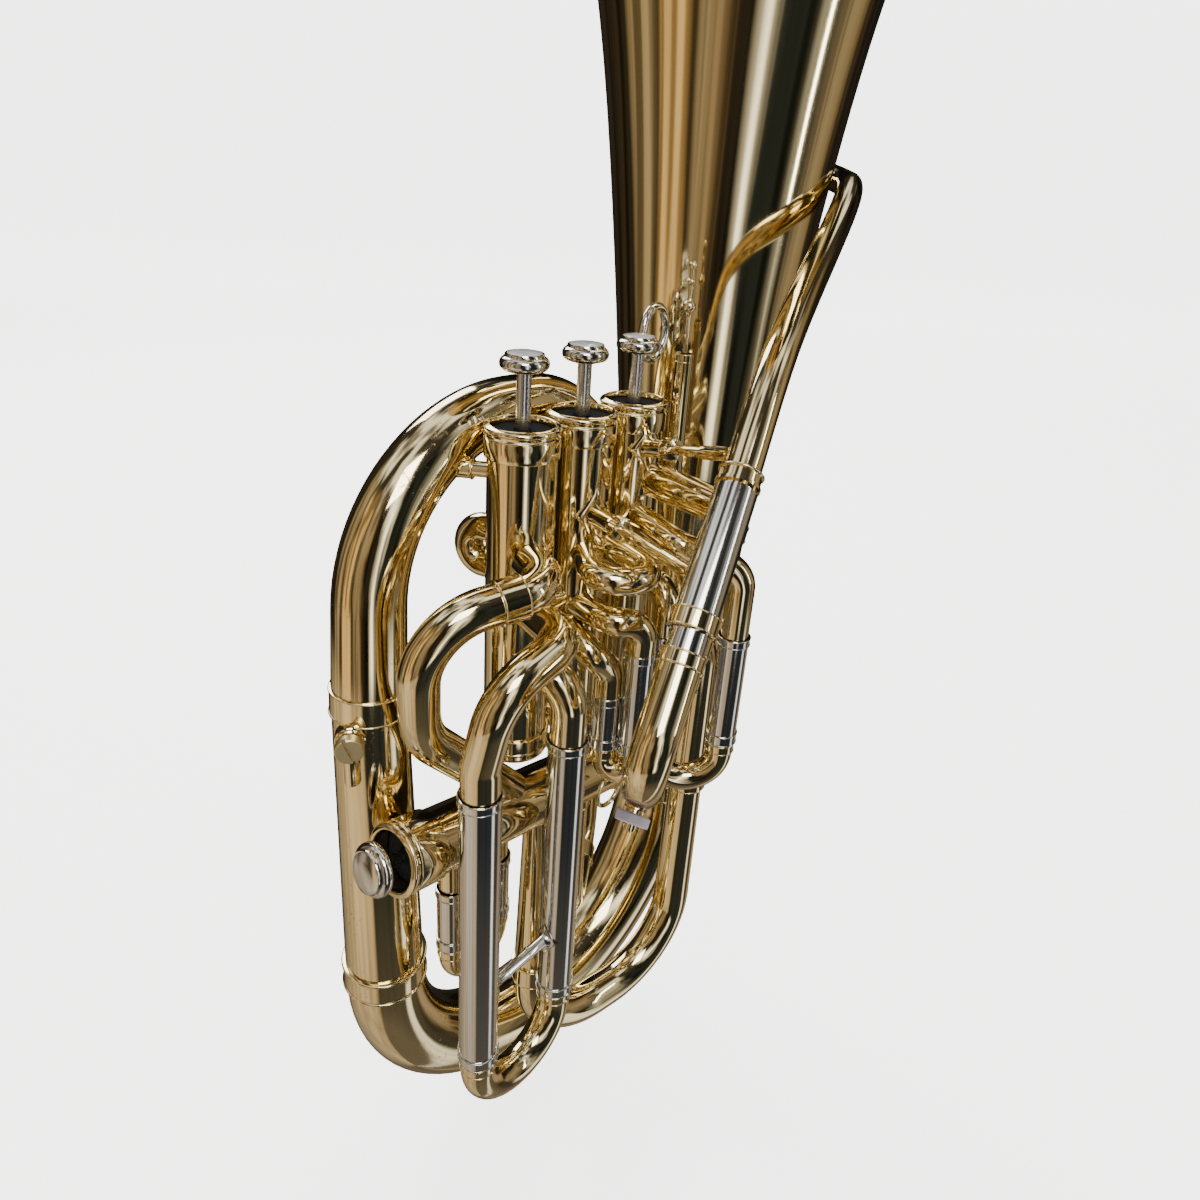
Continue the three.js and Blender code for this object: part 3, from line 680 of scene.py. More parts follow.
def add_guard():
    low, high = (in_valve_frame(corner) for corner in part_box("bottom_guard"))
    centre = (low + high) / 2
    half = (high - low) / 2
    work = bmesh.new()
    bmesh.ops.create_cube(work, size=2.0)
    for vert in work.verts:
        x, y, z = vert.co
        vert.co = at(centre.x + x * half.x, centre.y + y * half.y, centre.z + z * half.z)
    bmesh.ops.bevel(work, geom=list(work.edges), offset=1.4 * MM, segments=3, affect="EDGES")
    work.verts.ensure_lookup_table()
    verts = [vert.co.copy() for vert in work.verts]
    faces = [tuple(vert.index for vert in face.verts) for face in work.faces]
    shape = Shape(verts, faces)
    work.free()
    piece("bottom_guard_plate", shape, [NICKEL], "horn", "bottom_guard")


def outer_route():
    return [at(LEFT_X, LEFT_Y, TAIL_Z), at(LEFT_X - 3, LEFT_Y - 2, SEAM_Z)]


# The lyre post stands out from this point inside the outer branch.
LYRE_X = LEFT_X - 9.2
LYRE_Y = LEFT_Y + 5.1
LYRE_Z = -151.0
LYRE_OUT = Vector((-0.6, -0.8, 0))


def lyre_place(out, height):
    return at(LYRE_X + LYRE_OUT.x * out, LYRE_Y + LYRE_OUT.y * out, height)


def add_outer_branch():
    body = tube(outer_route(), taper(22.5, 19), 64)
    socket = turned([(0, -13), (3.6, -13), (4.0, -12.4), (4.0, 12), (3.6, 12.6), (0, 12.6)], 32)
    socket = socket.moved(Matrix.Translation(lyre_place(19.5, LYRE_Z - 14)))
    boss = turned([
        (0, -8), (7.4, -8), (7.4, -2.2), (6.9, -1.8), (6.9, -0.6), (6.3, 0), (2.6, 0), (2.6, -6), (0, -6),
    ], 48)
    boss = boss.moved(aim(lyre_place(24, LYRE_Z), LYRE_OUT))
    piece("outer_branch_tube", joined(body, socket, boss), [SPECKLED], "horn", "outer_branch")


def top_route():
    return bent([
        (LEFT_X - 3, LEFT_Y - 2, SEAM_Z), (LEFT_X + 4, LEFT_Y - 1, -4), (66, LEFT_Y, -4), (66, LEFT_Y, -110),
    ], [90, 72], 4)


def add_top_bow():
    route = top_route()
    shape = joined(
        tube(route, taper(19, 14), 64),
        ferrule_on(route, 0.985, 14.2, 14, 0),
    )
    piece("top_bow_tube", shape, [SPECKLED], "horn", "top_bow")
    ring = turned(ferrule_profile(19.2, 14, 0.6, 0.5), 72, 0)
    point, direction = place_on(route, 0.003)
    piece("branch_ferrule_ring", ring.moved(aim(point, direction)), [BRASS], "horn", "branch_ferrule")


# Tubes under the fourth casing start this far below its axis, and its wall cuts them.
INTO_CASING = 8.0


def fourth_axis_z(x):
    return FOURTH_CAP[2] - (x - FOURTH_CAP[0]) * math.tan(FOURTH_TILT)


def fourth_wall_z(x, y):
    """Height of the underside of the fourth casing's wall, or of its axis beside it."""
    half = (CASING_R - 0.05) ** 2 - (y - FOURTH_CAP[1]) ** 2
    return fourth_axis_z(x) - math.sqrt(max(half, 0)) / math.cos(FOURTH_TILT)


def under_fourth(shape):
    """Cuts what reaches up into the fourth casing back to the casing's wall."""
    verts = []
    cut = set()
    for i, vert in enumerate(shape.verts):
        x, y, z = in_valve_frame(vert)
        if fourth_wall_z(x, y) < z < fourth_axis_z(x):
            vert = at(x, y, fourth_wall_z(x, y))
            cut.add(i)
        verts.append(vert)
    faces = []
    slots = []
    for face, slot in zip(shape.faces, shape.slots):
        if len(face) == 4 or not cut.issuperset(face):
            faces.append(face)
            slots.append(slot)
            continue
        x, y, _ = in_valve_frame(sum((verts[i] for i in face), Vector()) / len(face))
        verts.append(at(x, y, fourth_wall_z(x, y)))
        hub = len(verts) - 1
        for one, two in zip(face, face[1:] + face[:1]):
            faces.append((one, two, hub))
            slots.append(slot)
    return Shape(verts, faces, slots)


def add_inner_branch():
    route = bent([
        (66, LEFT_Y, -110), (66, LEFT_Y, -345), (3, -4, -345), (3, -4, fourth_axis_z(3) - INTO_CASING),
    ], 28)
    shape = joined(
        under_fourth(tube(route, taper(13.6, 11.5), 48)),
        ferrule_on(route, 0.02, 13.8, 12),
        ferrule_on(route, 0.62, 12.6, 12),
        ferrule_on(route, 0.985, 11.6, 8),
    )
    piece("inner_branch_tube", shape, [BRASS], "horn", "inner_branch")


# ---- leadpipe and main tuning slide ----
PIPE_END = Vector((7, -92, -15))
SLIDE_ALONG = Vector((-0.652, -0.18, -0.735)).normalized()
LEVEL_ACROSS = Vector((0.906, 0.422, 0))
SLIDE_ACROSS = (LEVEL_ACROSS - SLIDE_ALONG * LEVEL_ACROSS.dot(SLIDE_ALONG)).normalized()
SLIDE_SPACING = 48.0
SLEEVE_TOP = 6.0
SLEEVE_LENGTH = 69.5
SLEEVE_R = 10.3
SLEEVE_BORE_R = 9.5
LEG_R = 8.8
LEG_BORE_R = 7.9
LEG_SHOWN = 11.5
LEG_INSIDE = 60.0
BOW_STRAIGHT = 32.0
SLIDE_TOP = SLEEVE_TOP + SLEEVE_LENGTH + LEG_SHOWN
SLIDE_LOW = SLIDE_TOP + BOW_STRAIGHT + SLIDE_SPACING / 2
SLIDE_R = 9.7
WATER_DROP = SLIDE_LOW + SLIDE_R


def on_slide(distance, across=0.0):
    return PIPE_END + SLIDE_ALONG * distance + SLIDE_ACROSS * across


def smooth_through(points, steps):
    """A centripetal Catmull-Rom curve through points in mm, as metres."""
    spots = [Vector(point) for point in points]
    spots = [spots[0] * 2 - spots[1], *spots, spots[-1] * 2 - spots[-2]]
    result = []
    for i in range(1, len(spots) - 2):
        knots = [0.0]
        for k in range(3):
            knots.append(knots[-1] + (spots[i + k] - spots[i + k - 1]).length ** 0.5)
        for s in range(steps):
            t = knots[1] + (knots[2] - knots[1]) * s / steps
            a = []
            for k in range(3):
                share = (t - knots[k]) / (knots[k + 1] - knots[k])
                a.append(spots[i + k - 1].lerp(spots[i + k], share))
            b = [a[k].lerp(a[k + 1], (t - knots[k]) / (knots[k + 2] - knots[k])) for k in range(2)]
            result.append(at(*b[0].lerp(b[1], (t - knots[1]) / (knots[2] - knots[1]))))
    result.append(at(*spots[-2]))
    return result


def lead_route():
    wrap = 77.5
    points = [on_slide(5.7), on_slide(-70)]
    for i, degrees in enumerate([-62, -45, -25, -5, 15]):
        angle = math.radians(degrees)
        points.append((BELL_X + wrap * math.cos(angle), BELL_Y + wrap * math.sin(angle), 112 + 4.5 * i))
    points.extend([(214, 84, 133), (207, 106, 137), (207, 112, 137)])
    return smooth_through(points, 10)


def add_leadpipe():
    route = lead_route()
    collar = turned([
        (0, 0), (10.4, 0), *arc((10.4, 0.7), 0.7, -90, 90, 6), (10.1, 1.6), (10.1, 6),
        (10.9, 6.4), (10.9, 8), (0, 8),
    ], 48)
    shape = joined(
        tube(route, taper(9, 7.2), 48),
        collar.moved(aim(at(*on_slide(-4)), SLIDE_ALONG)),
    )
    piece("leadpipe_tube", shape, [BRASS], "horn", "leadpipe")
    cup = turned([
        (6.2, 0.3), (7.9, 0.3), (8.6, 1), (8.6, 5.4), (8.2, 6.2), (7.4, 7.4), (7.4, 35.4),
        (8.2, 37.2), (8.8, 38), (8.8, 43), (8.2, 44), (6.9, 44), (6.2, 43.2),
    ], 48)
    cup = cup.moved(aim(route[-1], Vector((0, 1, 0))))
    piece("receiver_cup", cup, [NICKEL], "horn", "mouthpiece_receiver")


def slide_sleeve(across, tube_slot, band_slot):
    """An outer sleeve with a plain band soldered round its lower end."""
    ends = [at(*on_slide(SLEEVE_TOP, across)), at(*on_slide(SLEEVE_TOP + SLEEVE_LENGTH, across))]
    outer = tube(ends, SLEEVE_R, 48, SLEEVE_BORE_R, tube_slot)
    band_middle = at(*on_slide(SLEEVE_TOP + SLEEVE_LENGTH - 4.4, across))
    return joined(outer, ferrule(band_middle, SLIDE_ALONG, SLEEVE_R, 9, band_slot, 0.7, 0.5))


def add_main_slide():
    route = bent([
        on_slide(SLIDE_TOP), on_slide(SLIDE_LOW),
        on_slide(SLIDE_LOW, SLIDE_SPACING), on_slide(SLIDE_TOP, SLIDE_SPACING),
    ], SLIDE_SPACING / 2 - 0.5)
    parts = [tube(route, SLIDE_R, 48)]
    for across in (0, SLIDE_SPACING):
        leg_end = at(*on_slide(SLIDE_TOP + 2, across))
        leg = [at(*on_slide(SLIDE_TOP - LEG_SHOWN - LEG_INSIDE, across)), leg_end]
        parts.append(tube(leg, LEG_R, 48, LEG_BORE_R, 1))
        parts.append(ferrule(leg_end, SLIDE_ALONG, SLIDE_R, 7, 0, 0.7, 0.5))
    seat = turned([
        (0, -4), (5.2, -4), (5.2, 0.1), (4.8, 0.3), (3, 0.4), (3, 8.4), (2.4, 9.6), (1, 10), (0, 10),
    ], 32)
    parts.append(seat.moved(aim(at(*on_slide(WATER_DROP, SLIDE_SPACING / 2)), SLIDE_ALONG)))
    piece("main_slide_bow", joined(*parts), [BRASS, NICKEL], "main_slide_body", "main_slide")
    ring = turned([
        *arc((6.9, 1.0), 0.8, -90, 0, 4), *arc((6.9, 4.0), 0.8, 0, 90, 4),
        (3.9, 4.9), (3.6, 4.5), (3.6, 0.5), (3.9, 0.2),
    ], 40)
    place = aim(at(*on_slide(WATER_DROP + 1.8, SLIDE_SPACING / 2)), SLIDE_ALONG)
    piece("water_ring_nylon", ring.moved(place), [NYLON], "water_valve", "water_ring")


def add_main_sleeves():
    piece("main_sleeve_tube", slide_sleeve(0, 0, 1), [NICKEL, BRASS], "horn", "main_sleeve")
    route = bent([on_slide(9, SLIDE_SPACING), on_slide(-2, SLIDE_SPACING), (PITCH + 3, -12, -44)], 14)
    crook = joined(
        tube(route, SLIDE_R, 48),
        ferrule(at(*on_slide(8, SLIDE_SPACING)), SLIDE_ALONG, 10.2, 8, 0, 0.5, 0.4),
    )
    sleeve_part = slide_sleeve(SLIDE_SPACING, 1, 0)
    piece("main_return_crook", joined(crook, sleeve_part), [BRASS, NICKEL], "horn", "main_return")


# ---- piston valves, drawn upright with the cap's rim at height 0 ----
def fourth_matrix():
    return Matrix.Translation(at(*FOURTH_CAP)) @ Matrix.Rotation(FOURTH_TILT - math.pi / 2, 4, "Y")


VALVES = [
    ("1", Matrix.Translation(at(PITCH, 0, 0)), BUTTON_Z, 0.0),
    ("2", Matrix.Translation(at(0, 0, 0)), BUTTON_Z, 0.0),
    ("3", Matrix.Translation(at(-PITCH, 0, 0)), BUTTON_Z, 0.0),
    ("4", fourth_matrix(), FOURTH_BUTTON_Z, FOURTH_SUNK),
]
CASING_TOP = -9.0
PISTON_TOP = -44.0
PISTON_LENGTH = 88.0


def casing_tube(sunk):
    top = CASING_TOP - sunk
    return turned([
        (CASING_R, -CASING_LENGTH), (CASING_R, top), (CASING_BORE_R, top), (CASING_BORE_R, -CASING_LENGTH),
    ], 72)


def top_cap(sunk):
    """A screwed cap with a rolled rim, a groove and a plain band below."""
    return turned([
        (4.6, -8.7 - sunk), (CASING_R + 0.3, -8.7 - sunk), (CASING_R + 0.3, -16 - sunk),
        (18.3, -16 - sunk), *arc((18.3, -15.6 - sunk), 0.4, -90, 0, 3), (18.7, -6.6),
        *arc((18.2, -5.6), 0.55, -60, 60, 5), (18.0, -4.6), *arc((17.5, -2.2), 1.5, -60, 90, 8),
        *arc((16.6, -1.1), 1.1, 90, 180, 6), (15.2, -2.2), (15.2, -6.7 - sunk), (4.6, -6.7 - sunk),
    ], 72)


def felt_ring(sunk):
    high = -3.2 - sunk
    low = -6.4 - sunk
    return turned([
        (4.4, low), (14.6, low), (14.9, low + 0.4), (14.9, high - 0.6), (14.2, high),
        (5.2, high), (4.4, high - 0.7),
    ], 56)


def bottom_cap():
    seat = -CASING_LENGTH
    return turned([
        (0, seat - 0.3), (CASING_R + 0.3, seat - 0.3), (CASING_R + 0.3, seat + 9), (18.2, seat + 9),
        *arc((18.2, seat + 8.5), 0.5, 90, 0, 4), (18.6, seat + 2), *arc((18.4, seat + 0.6), 0.6, 60, -60, 5),
        (18.2, seat - 0.8), (18.6, seat - 2.4), (17.6, seat - 4.6), (15.8, seat - 5.8), (12, seat - 6.6),
        (6.5, seat - 6.8), (5, seat - 7.4), (5, seat - 9.2), (4, seat - 10), (0, seat - 10),
    ], 72)


def piston(button_z):
    low = PISTON_TOP - PISTON_LENGTH
    return turned([
        (0, low + 26), (12, low + 26), (12, low), (15.5, low), (15.9, low + 0.5),
        (15.9, PISTON_TOP - 0.5), (15.4, PISTON_TOP), (7, PISTON_TOP), (7, PISTON_TOP + 3),
        (3.6, PISTON_TOP + 4), (3.6, button_z - 0.3), (0, button_z - 0.3),
    ], 56)


def button_cup(low, radius):
    """A fat rounded cup; its widest point is at the given radius."""
    inner = radius - 3.4
    return turned([
        (0, low), (inner - 3.2, low), (inner - 1.8, low + 0.5),
        *arc((radius - 3.5, low + 4.6), 3.5, -70, 70, 14),
        (inner + 0.9, low + 8.9), (inner + 0.5, low + 9.5), (inner - 0.1, low + 9.3), (0, low + 9.3),
    ], 56)


def button_pearl(low, radius):
    inner = radius - 3.6
    return turned([
        (0, low + 8.6), (inner, low + 8.6), (inner, low + 9.5), (inner - 1.8, low + 10),
        (inner / 2, low + 10.3), (0, low + 10.4),
    ], 56, 1)


SPRING_LOW = -CASING_LENGTH + 1
SPRING_HIGH = PISTON_TOP - PISTON_LENGTH + 24.5


def spring(turns=9, per_turn=20, radius=9.5):
    count = turns * per_turn
    points = []
    for i in range(count + 1):
        angle = 2 * math.pi * i / per_turn
        height = SPRING_LOW + (SPRING_HIGH - SPRING_LOW) * i / count
        points.append(Vector((radius * math.cos(angle), radius * math.sin(angle), height)) * MM)
    return tube(points, 0.7, 10)


def add_valves():
    for number, place, button_z, sunk in VALVES:
        body = "valve_" + number
        for name, shape, look, rides_on, node in (
            ("top_cap_rolled_", top_cap(sunk), BRASS, "horn", "top_cap_"),
            ("bottom_cap_turned_", bottom_cap(), BRASS, "horn", "bottom_cap_"),
            ("cap_felt_", felt_ring(sunk), FELT, "horn", "valve_felt_"),
            ("piston_body_", piston(button_z), STEEL, body, "piston_"),
        ):
            piece(name + number, shape.moved(place), [look], rides_on, node + number)
        coil = spring().moved(place)
        coil = piece("spring_coil_" + number, coil, [STEEL], "horn", "piston_spring_" + number)
        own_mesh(coil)
        radius = FOURTH_BUTTON_R if number == "4" else BUTTON_R
        button = joined(button_cup(button_z, radius), button_pearl(button_z, radius))
        top = NICKEL if number == "4" else PEARL
        piece("button_cup_" + number, button.moved(place), [NICKEL, top], body, "finger_button_" + number)


def add_casings():
    link = lambda x, z: tube([at(x - 14, 0, z), at(x + 14, 0, z)], 8.5, 40)
    parts = [casing_tube(0).moved(place) for _, place, _, _ in VALVES[:3]]
    parts.append(link(PITCH / 2, -78))
    parts.append(link(-PITCH / 2, -100))
    parts.append(tube([at(-64, 34, -26), at(-49.5, 9, -25)], 4.0, 32))
    parts.append(ferrule(at(-58.5, 24.5, -25.6), Vector((14.5, -25, 1)), 4.2, 10, 0, 0.9, 0.5, 32))
    piece("casing_trio", joined(*parts), [BRASS], "horn", "valve_block")


# ---- valve slides ----
FIRST = dict(a=(52, -76), b=(25, -47), radius=8.5, top=-121, low=-191, inside=55)
SECOND = dict(a=(1, -49), b=(-6, -34.5), radius=7.8, top=-122, low=-186, inside=30)
SECOND_SHORT = dict(SECOND, top=-152)
THIRD = dict(a=(-102.7, -38), b=(-41.5, -38), radius=10.5, top=-162, low=-341, inside=130)
FOURTH = dict(a=(-92, -4), b=(-60, -4), radius=8.2, top=-250, low=-292, inside=34)
DOWN = Vector((0, 0, -1))


def sleeve(slide, leg, slot=0):
    x, y = leg
    radius = slide["radius"]
    body = tube([at(x, y, slide["top"]), at(x, y, slide["low"])], radius, 48, radius - 0.9, slot)
    top_ring = ferrule(at(x, y, slide["top"] - 2.5), DOWN, radius, 5, slot, 0.5, 0.35)
    low_ring = ferrule(at(x, y, slide["low"] + 3.5), DOWN, radius, 6.5, slot, 0.5, 0.35)
    return joined(body, top_ring, low_ring)


def slide_bow(slide, leg_slot=1, ring_slot=0):
    a = slide["a"]
    b = slide["b"]
    radius = slide["radius"]
    top = slide["low"]
    spacing = math.hypot(a[0] - b[0], a[1] - b[1])
    depth = top - 8 - spacing / 2
    route = bent([(*a, top - 0.3), (*a, depth), (*b, depth), (*b, top - 0.3)], spacing / 2 - 0.3)
    parts = [tube(route, radius - 0.7, 48)]
    for x, y in (a, b):
        leg = [at(x, y, top - 2), at(x, y, top + slide["inside"])]
        parts.append(tube(leg, radius - 1.8, 40, radius - 2.6, leg_slot))
        parts.append(ferrule(at(x, y, top - 3.4), DOWN, radius - 0.8, 6, ring_slot, 0.6, 0.4))
    return joined(*parts)


def crook(corners, bend, radius, rings=()):
    """A bent tube with a ferrule at each of the given shares of its length."""
    route = bent(corners, bend)
    parts = [tube(route, radius, 44)]
    for share, length in rings:
        parts.append(ferrule_on(route, share, radius, length))
    return joined(*parts)


def add_tubing(name, slide, leg, corners, bend, radius, sleeve_slot, rings=()):
    end = (*slide[leg], slide["top"] - 3)
    shape = joined(crook([*corners, end], bend, radius, rings), sleeve(slide, slide[leg], sleeve_slot))
    piece(name + "_crook", shape, [BRASS, NICKEL], "horn", name)


def add_all_tubing():
    add_tubing("first_tubing_a", FIRST, "a",
               [(38, -8, -64), (31, -46, -70), (52, -76, -82)], [12, 14], 7.8, 1)
    add_tubing("first_tubing_b", FIRST, "b", [(38, -10, -96), (25, -47, -96)], 12, 7.8, 1)
    add_tubing("second_tubing_a", SECOND, "a",
               [(-6, -8, -106), (-15, -40, -102), (1, -50, -106)], [11, 11], 7.9, 1)
    add_tubing("second_tubing_b", SECOND_SHORT, "b",
               [(-12, -8, -119), (-22, -32, -120), (-6, -34.5, -137)], [10, 12], 7.9, 1)
    add_tubing("third_tubing_a", THIRD, "a",
               [(-44, -8, -96), (-57, -47, -94), (-99, -46, -105), (-102.7, -38, -146)], [15, 28, 20], 9.9, 1)
    add_tubing("third_tubing_b", THIRD, "b",
               [(-51, -8, -125), (-41.5, -38, -127)], 19, 9.9, 1)
    loop = crook([(-7, -12, -74), (-25, -36, -76), (6, -64, -79), (13, -12, -77)], [13, 14], 7.3)
    piece("second_loop_crook", loop, [BRASS], "horn", "second_loop")
    crossing = crook([
        (-50.5, -15, -66), (-58, -38, -68), (-121, -17, -75), (-116, -10, -137), (-51, -4.8, -208),
    ], [15.5, 34, 44], 10, [(0.175, 13)])
    piece("crossing_loop_crook", crossing, [BRASS], "horn", "crossing_loop")
    back = crook([(-44, 8, -59), (-50, 30, -59), (-50, 30, -79), (-44, 8, -79)], 9.6, 7.5)
    piece("back_loop_crook", back, [BRASS], "horn", "back_loop")


def add_fourth_casing():
    parts = [casing_tube(FOURTH_SUNK).moved(fourth_matrix())]
    for leg in ("a", "b"):
        x, y = FOURTH[leg]
        stub = [at(x, y, fourth_axis_z(x) - INTO_CASING), at(x, y, FOURTH["top"] - 3)]
        parts.append(under_fourth(tube(stub, 7.4, 40)))
        parts.append(sleeve(FOURTH, (x, y), 1))
    piece("fourth_casing_tube", joined(*parts), [BRASS, NICKEL], "horn", "fourth_casing")
    route = bent([
        (PITCH + 15.5, -9, -152), (101, -28, -152), (97, -28, -434),
        (-26, -6, -430), (-26, -4, fourth_axis_z(-26) - INTO_CASING),
    ], [26, 57, 57])
    wide = lambda share: min(12.5, 8 + 20 * share, 8 + 20 * (1 - share))
    shape = joined(
        under_fourth(tube(route, wide, 56)),
        ferrule_on(route, 0.26, 12.5, 14),
        ferrule_on(route, 0.78, 12.5, 14),
    )
    piece("fourth_loop_tube", shape, [BRASS], "horn", "fourth_loop")


def wire_ring(centre, radius, wire, sides, steps, turn=0.0):
    """A standing ring of round wire, facing along Y unless it is turned about Z."""
    facing = Matrix.Rotation(turn, 3, "Z")
    points = []
    for i in range(steps + 1):
        angle = 2 * math.pi * i / steps
        around = facing @ Vector((radius * math.cos(angle), 0, radius * math.sin(angle)))
        points.append(centre + around * MM)
    return tube(points, wire, sides)


def pull_ring():
    """A wire ring under the second slide's bow, a third of the way between its legs."""
    ax, ay = SECOND["a"]
    bx, by = SECOND["b"]
    bottom = SECOND["low"] - 8 - math.hypot(ax - bx, ay - by) / 2 - SECOND["radius"] + 0.7
    hang = at(bx + (ax - bx) * 0.3, by + (ay - by) * 0.3, bottom - 8.6)
    return wire_ring(hang, 9.4, 1.4, 16, 48)


def add_slides():
    for word, slide, look in (
        ("first", FIRST, BRASS), ("second", SECOND, BRASS),
        ("third", THIRD, SPECKLED), ("fourth", FOURTH, BRASS),
    ):
        shape = slide_bow(slide)
        if slide is SECOND:
            shape = joined(shape, pull_ring())
        piece(word + "_slide_bow", shape, [look, NICKEL], word + "_slide_body", word + "_slide")


# ---- stays, screws and rings ----
def diamond_foot(centre, outward, along, half_long, half_wide, thick, curve_radius):
    """A thin diamond plate lying on a tube of that radius, whose axis is along."""
    around = outward.cross(along).normalized()
    verts = []
    rounds = 8
    count = 48
    for layer in (0, 1):
        for ring in range(1, rounds + 1):
            for i in range(count):
                angle = 2 * math.pi * i / count
                reach = (abs(math.cos(angle)) ** 0.85 + abs(math.sin(angle)) ** 0.85) ** (-1 / 0.85)
                edge = ring / rounds
                shift_long = half_long * reach * edge * math.cos(angle)
                turn = half_wide * reach * edge * math.sin(angle) / curve_radius
                rise = thick * math.sqrt(max(0.0, 1 - edge ** 6)) * layer - 0.6 * (1 - layer)
                radius = curve_radius + rise
                spot = (along * shift_long + around * radius * math.sin(turn)
                        + outward * (radius * math.cos(turn) - curve_radius))
                verts.append(centre + spot * MM)
    faces = []
    step = rounds * count
    for layer in (0, 1):
        for ring in range(rounds - 1):
            start = layer * step + ring * count
            faces.extend(ring_faces(start, start + count, count))
        faces.append(tuple(layer * step + i for i in range(count)))
    rim = step - count
    faces.extend(ring_faces(rim, step + rim, count))
    return Shape(verts, faces)


def knurled_nut(radius, length, ridges=28, slot=1):
    verts = []
    levels = [(-length / 2, 0.82), (-length / 2 + 0.5, 1.0), (length / 2 - 0.5, 1.0), (length / 2, 0.82)]
    count = ridges * 4
    for height, share in levels:
        for i in range(count):
            angle = 2 * math.pi * i / count
            ripple = 0.22 * math.cos(ridges * angle) if share == 1.0 else 0
            verts.append(Vector(((radius * share + ripple) * math.cos(angle),
                                 (radius * share + ripple) * math.sin(angle), height)) * MM)
    faces = []
    for level in range(len(levels) - 1):
        faces.extend(ring_faces(level * count, (level + 1) * count, count))
    faces.append(tuple(range(count))[::-1])
    faces.append(tuple(3 * count + i for i in range(count)))
    return Shape(verts, faces, slot)


def add_lead_stay(name, x, z, distance, node):
    """A stay in two halves, joined by a nut, from a casing to the leadpipe."""
    target = on_slide(distance)
    flat = Vector((target.x - x, target.y, 0)).normalized()
    start = Vector((x, 0, z)) + flat * CASING_R
    end = target - flat * 10.0
    way = (end - start).normalized()
    length = (end - start).length
    profile = [
        (0, 0), (5.6, 0), (5.2, 2.4), (4.9, 4.6), (4.9, 14), (5.3, 14.4), (5.3, 16.2),
        (4.9, 16.6), (4.9, 18.6), (0, 19),
    ]
    rod = [
        (0, 18), (2.7, 18), (2.7, length - 22), (3.6, length - 21.2), (3.6, length - 2),
        (4.6, length), (0, length + 1),
    ]
    place = aim(at(*start), way)
    nut = knurled_nut(6.2, 5.5, slot=0).moved(place @ Matrix.Translation((0, 0, 21 * MM)))
    shape = joined(
        turned(profile, 40).moved(place),
        turned(rod, 32).moved(place),
        nut,
        diamond_foot(at(*start), flat, Vector((0, 0, 1)), 15, 13, 0.9, CASING_R),
    )
    piece(name, shape, [BRASS, NICKEL], "horn", node)


def add_slide_stay():
    z = -296.0
    a = THIRD["a"]
    b = THIRD["b"]
    left = at(a[0] + THIRD["radius"], a[1], z)
    right = at(b[0] - THIRD["radius"], b[1], z)
    along = Vector((1, 0, 0))
    length = (right - left).length / MM
    rod = turned([
        (0, 0), (4.4, 0), (3.4, 1.6), (3.2, 3), (3.2, 9), (3.8, 9.4), (3.8, 10.6), (3.2, 11),
        (3.2, length - 15), (3.8, length - 14.6), (3.8, length - 13.4), (3.2, length - 13),
        (3.2, length - 3), (3.6, length - 1.6), (4.6, length), (0, length),
    ], 32)
    shape = joined(
        rod.moved(aim(left, along)),
        diamond_foot(left, along, Vector((0, 0, 1)), 12, 9, 0.9, THIRD["radius"]),
        diamond_foot(right, -along, Vector((0, 0, 1)), 12, 9, 0.9, THIRD["radius"]),
    )
    piece("third_slide_stay", shape, [NICKEL], "horn", "slide_stay")


def add_thumb_ring():
    band = wire_ring(at(75, 14, 30), 15, 2.5, 24, 64, 0.2)
    post = tube([at(90, 17.5, 30), at(95.5, 19, 30)], 3.2, 24)
    piece("thumb_ring_band", joined(band, post), [NICKEL], "horn", "thumb_ring")


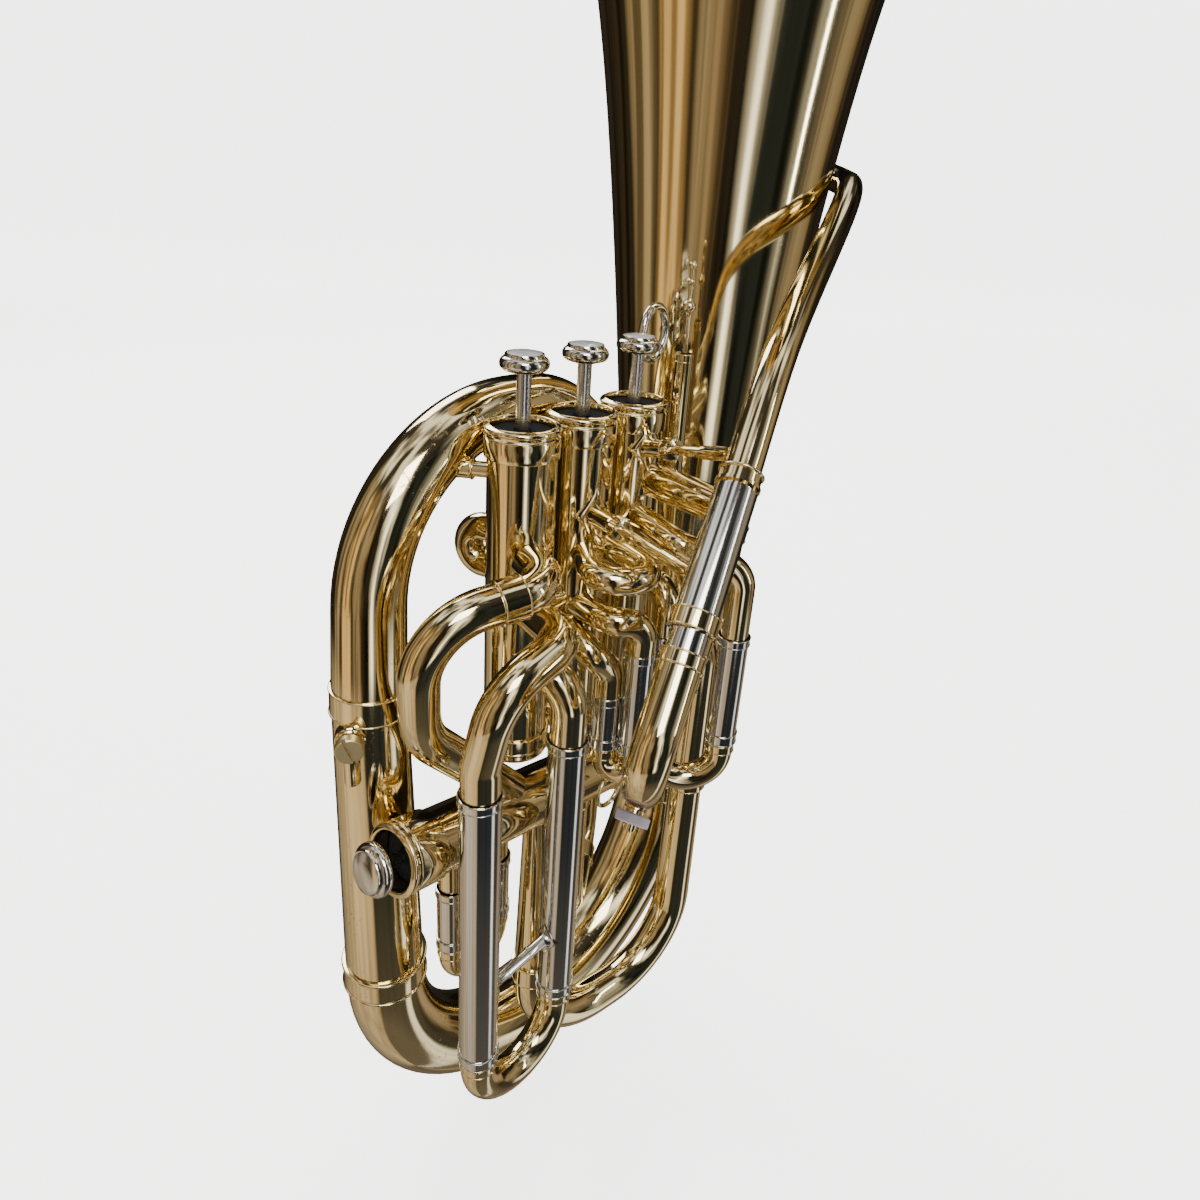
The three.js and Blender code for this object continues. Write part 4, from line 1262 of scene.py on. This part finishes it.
def slot_half(radius, half_gap, low, high, side):
    """One of the two D-shaped raised halves beside a screw's slot."""
    reach = math.acos(half_gap / radius)
    rim = []
    for i in range(25):
        angle = reach * (2 * i / 24 - 1)
        rim.append((radius * math.cos(angle), radius * math.sin(angle)))
    verts = []
    for height, share in ((low, 1.0), (high - 0.5, 1.0), (high, 0.93)):
        verts.extend(Vector((side * max(x * share, half_gap), y * share, height)) * MM for x, y in rim)
    count = len(rim)
    faces = [tuple(range(count)), tuple(2 * count + i for i in range(count))]
    for level in (0, 1):
        faces.extend(ring_faces(level * count, (level + 1) * count, count))
    return Shape(verts, faces)


def add_lyre_screw():
    shank = turned([
        (0, -5.6), (2.2, -5.6), (2.2, 0), (4.5, 0.6), (6.4, 1.2), (6.9, 1.8), (6.9, 4.6), (0, 4.6),
    ], 48)
    halves = [slot_half(6.9, 0.9, 4.5, 7.0, side).moved(Matrix.Rotation(0.35, 4, "Z")) for side in (-1, 1)]
    place = aim(lyre_place(24.3, LYRE_Z), LYRE_OUT)
    piece("lyre_thumbscrew", joined(shank, *halves).moved(place), [SATIN], "lyre_thumbscrew", "lyre_screw")


TRIGGER = (67.0, -14.0)


def add_trigger():
    x, y = TRIGGER
    barrel = joined(
        tube([at(x, y, -52), at(x, y, 24)], 4.9, 40, 4.0),
        ferrule(at(x, y, 21.6), DOWN, 4.8, 4.5, 0, 0.15, 0.25),
        ferrule(at(x, y, -49), DOWN, 4.8, 5, 0, 0.15, 0.25),
    )
    piece("trigger_barrel_tube", barrel, [BRASS], "horn", "trigger_barrel")
    rod = turned([
        (0, -44), (3.0, -44), (3.2, -43.6), (3.2, -30), (1.4, -28), (1.4, 44), (1.8, 44.6),
        *arc((0.4, 49), 3.4, -60, 60, 8), (1.4, 53.4), (1.4, 59.6), *arc((0.6, 62), 1.8, -60, 60, 6),
        (1.4, 64.6), (1.4, 67.8), *arc((0.2, 70.3), 2.1, -55, 85, 6), (0, 72.4),
    ], 28)
    piece("trigger_rod_knobs", rod.moved(Matrix.Translation(at(x, y, 0))), [BRASS], "trigger", "trigger_rod")


add_camera()
add_studio()
add_bell()
add_bottom_bow()
add_guard()
add_outer_branch()
add_top_bow()
add_inner_branch()
add_leadpipe()
add_main_slide()
add_main_sleeves()
add_valves()
add_casings()
add_all_tubing()
add_fourth_casing()
add_slides()
add_lead_stay("upper_stay", PITCH, -24, -10, "upper_leadpipe_stay")
add_lead_stay("lower_stay", 0, -52, 52, "lower_leadpipe_stay")
add_slide_stay()
add_thumb_ring()
add_lyre_screw()
add_trigger()
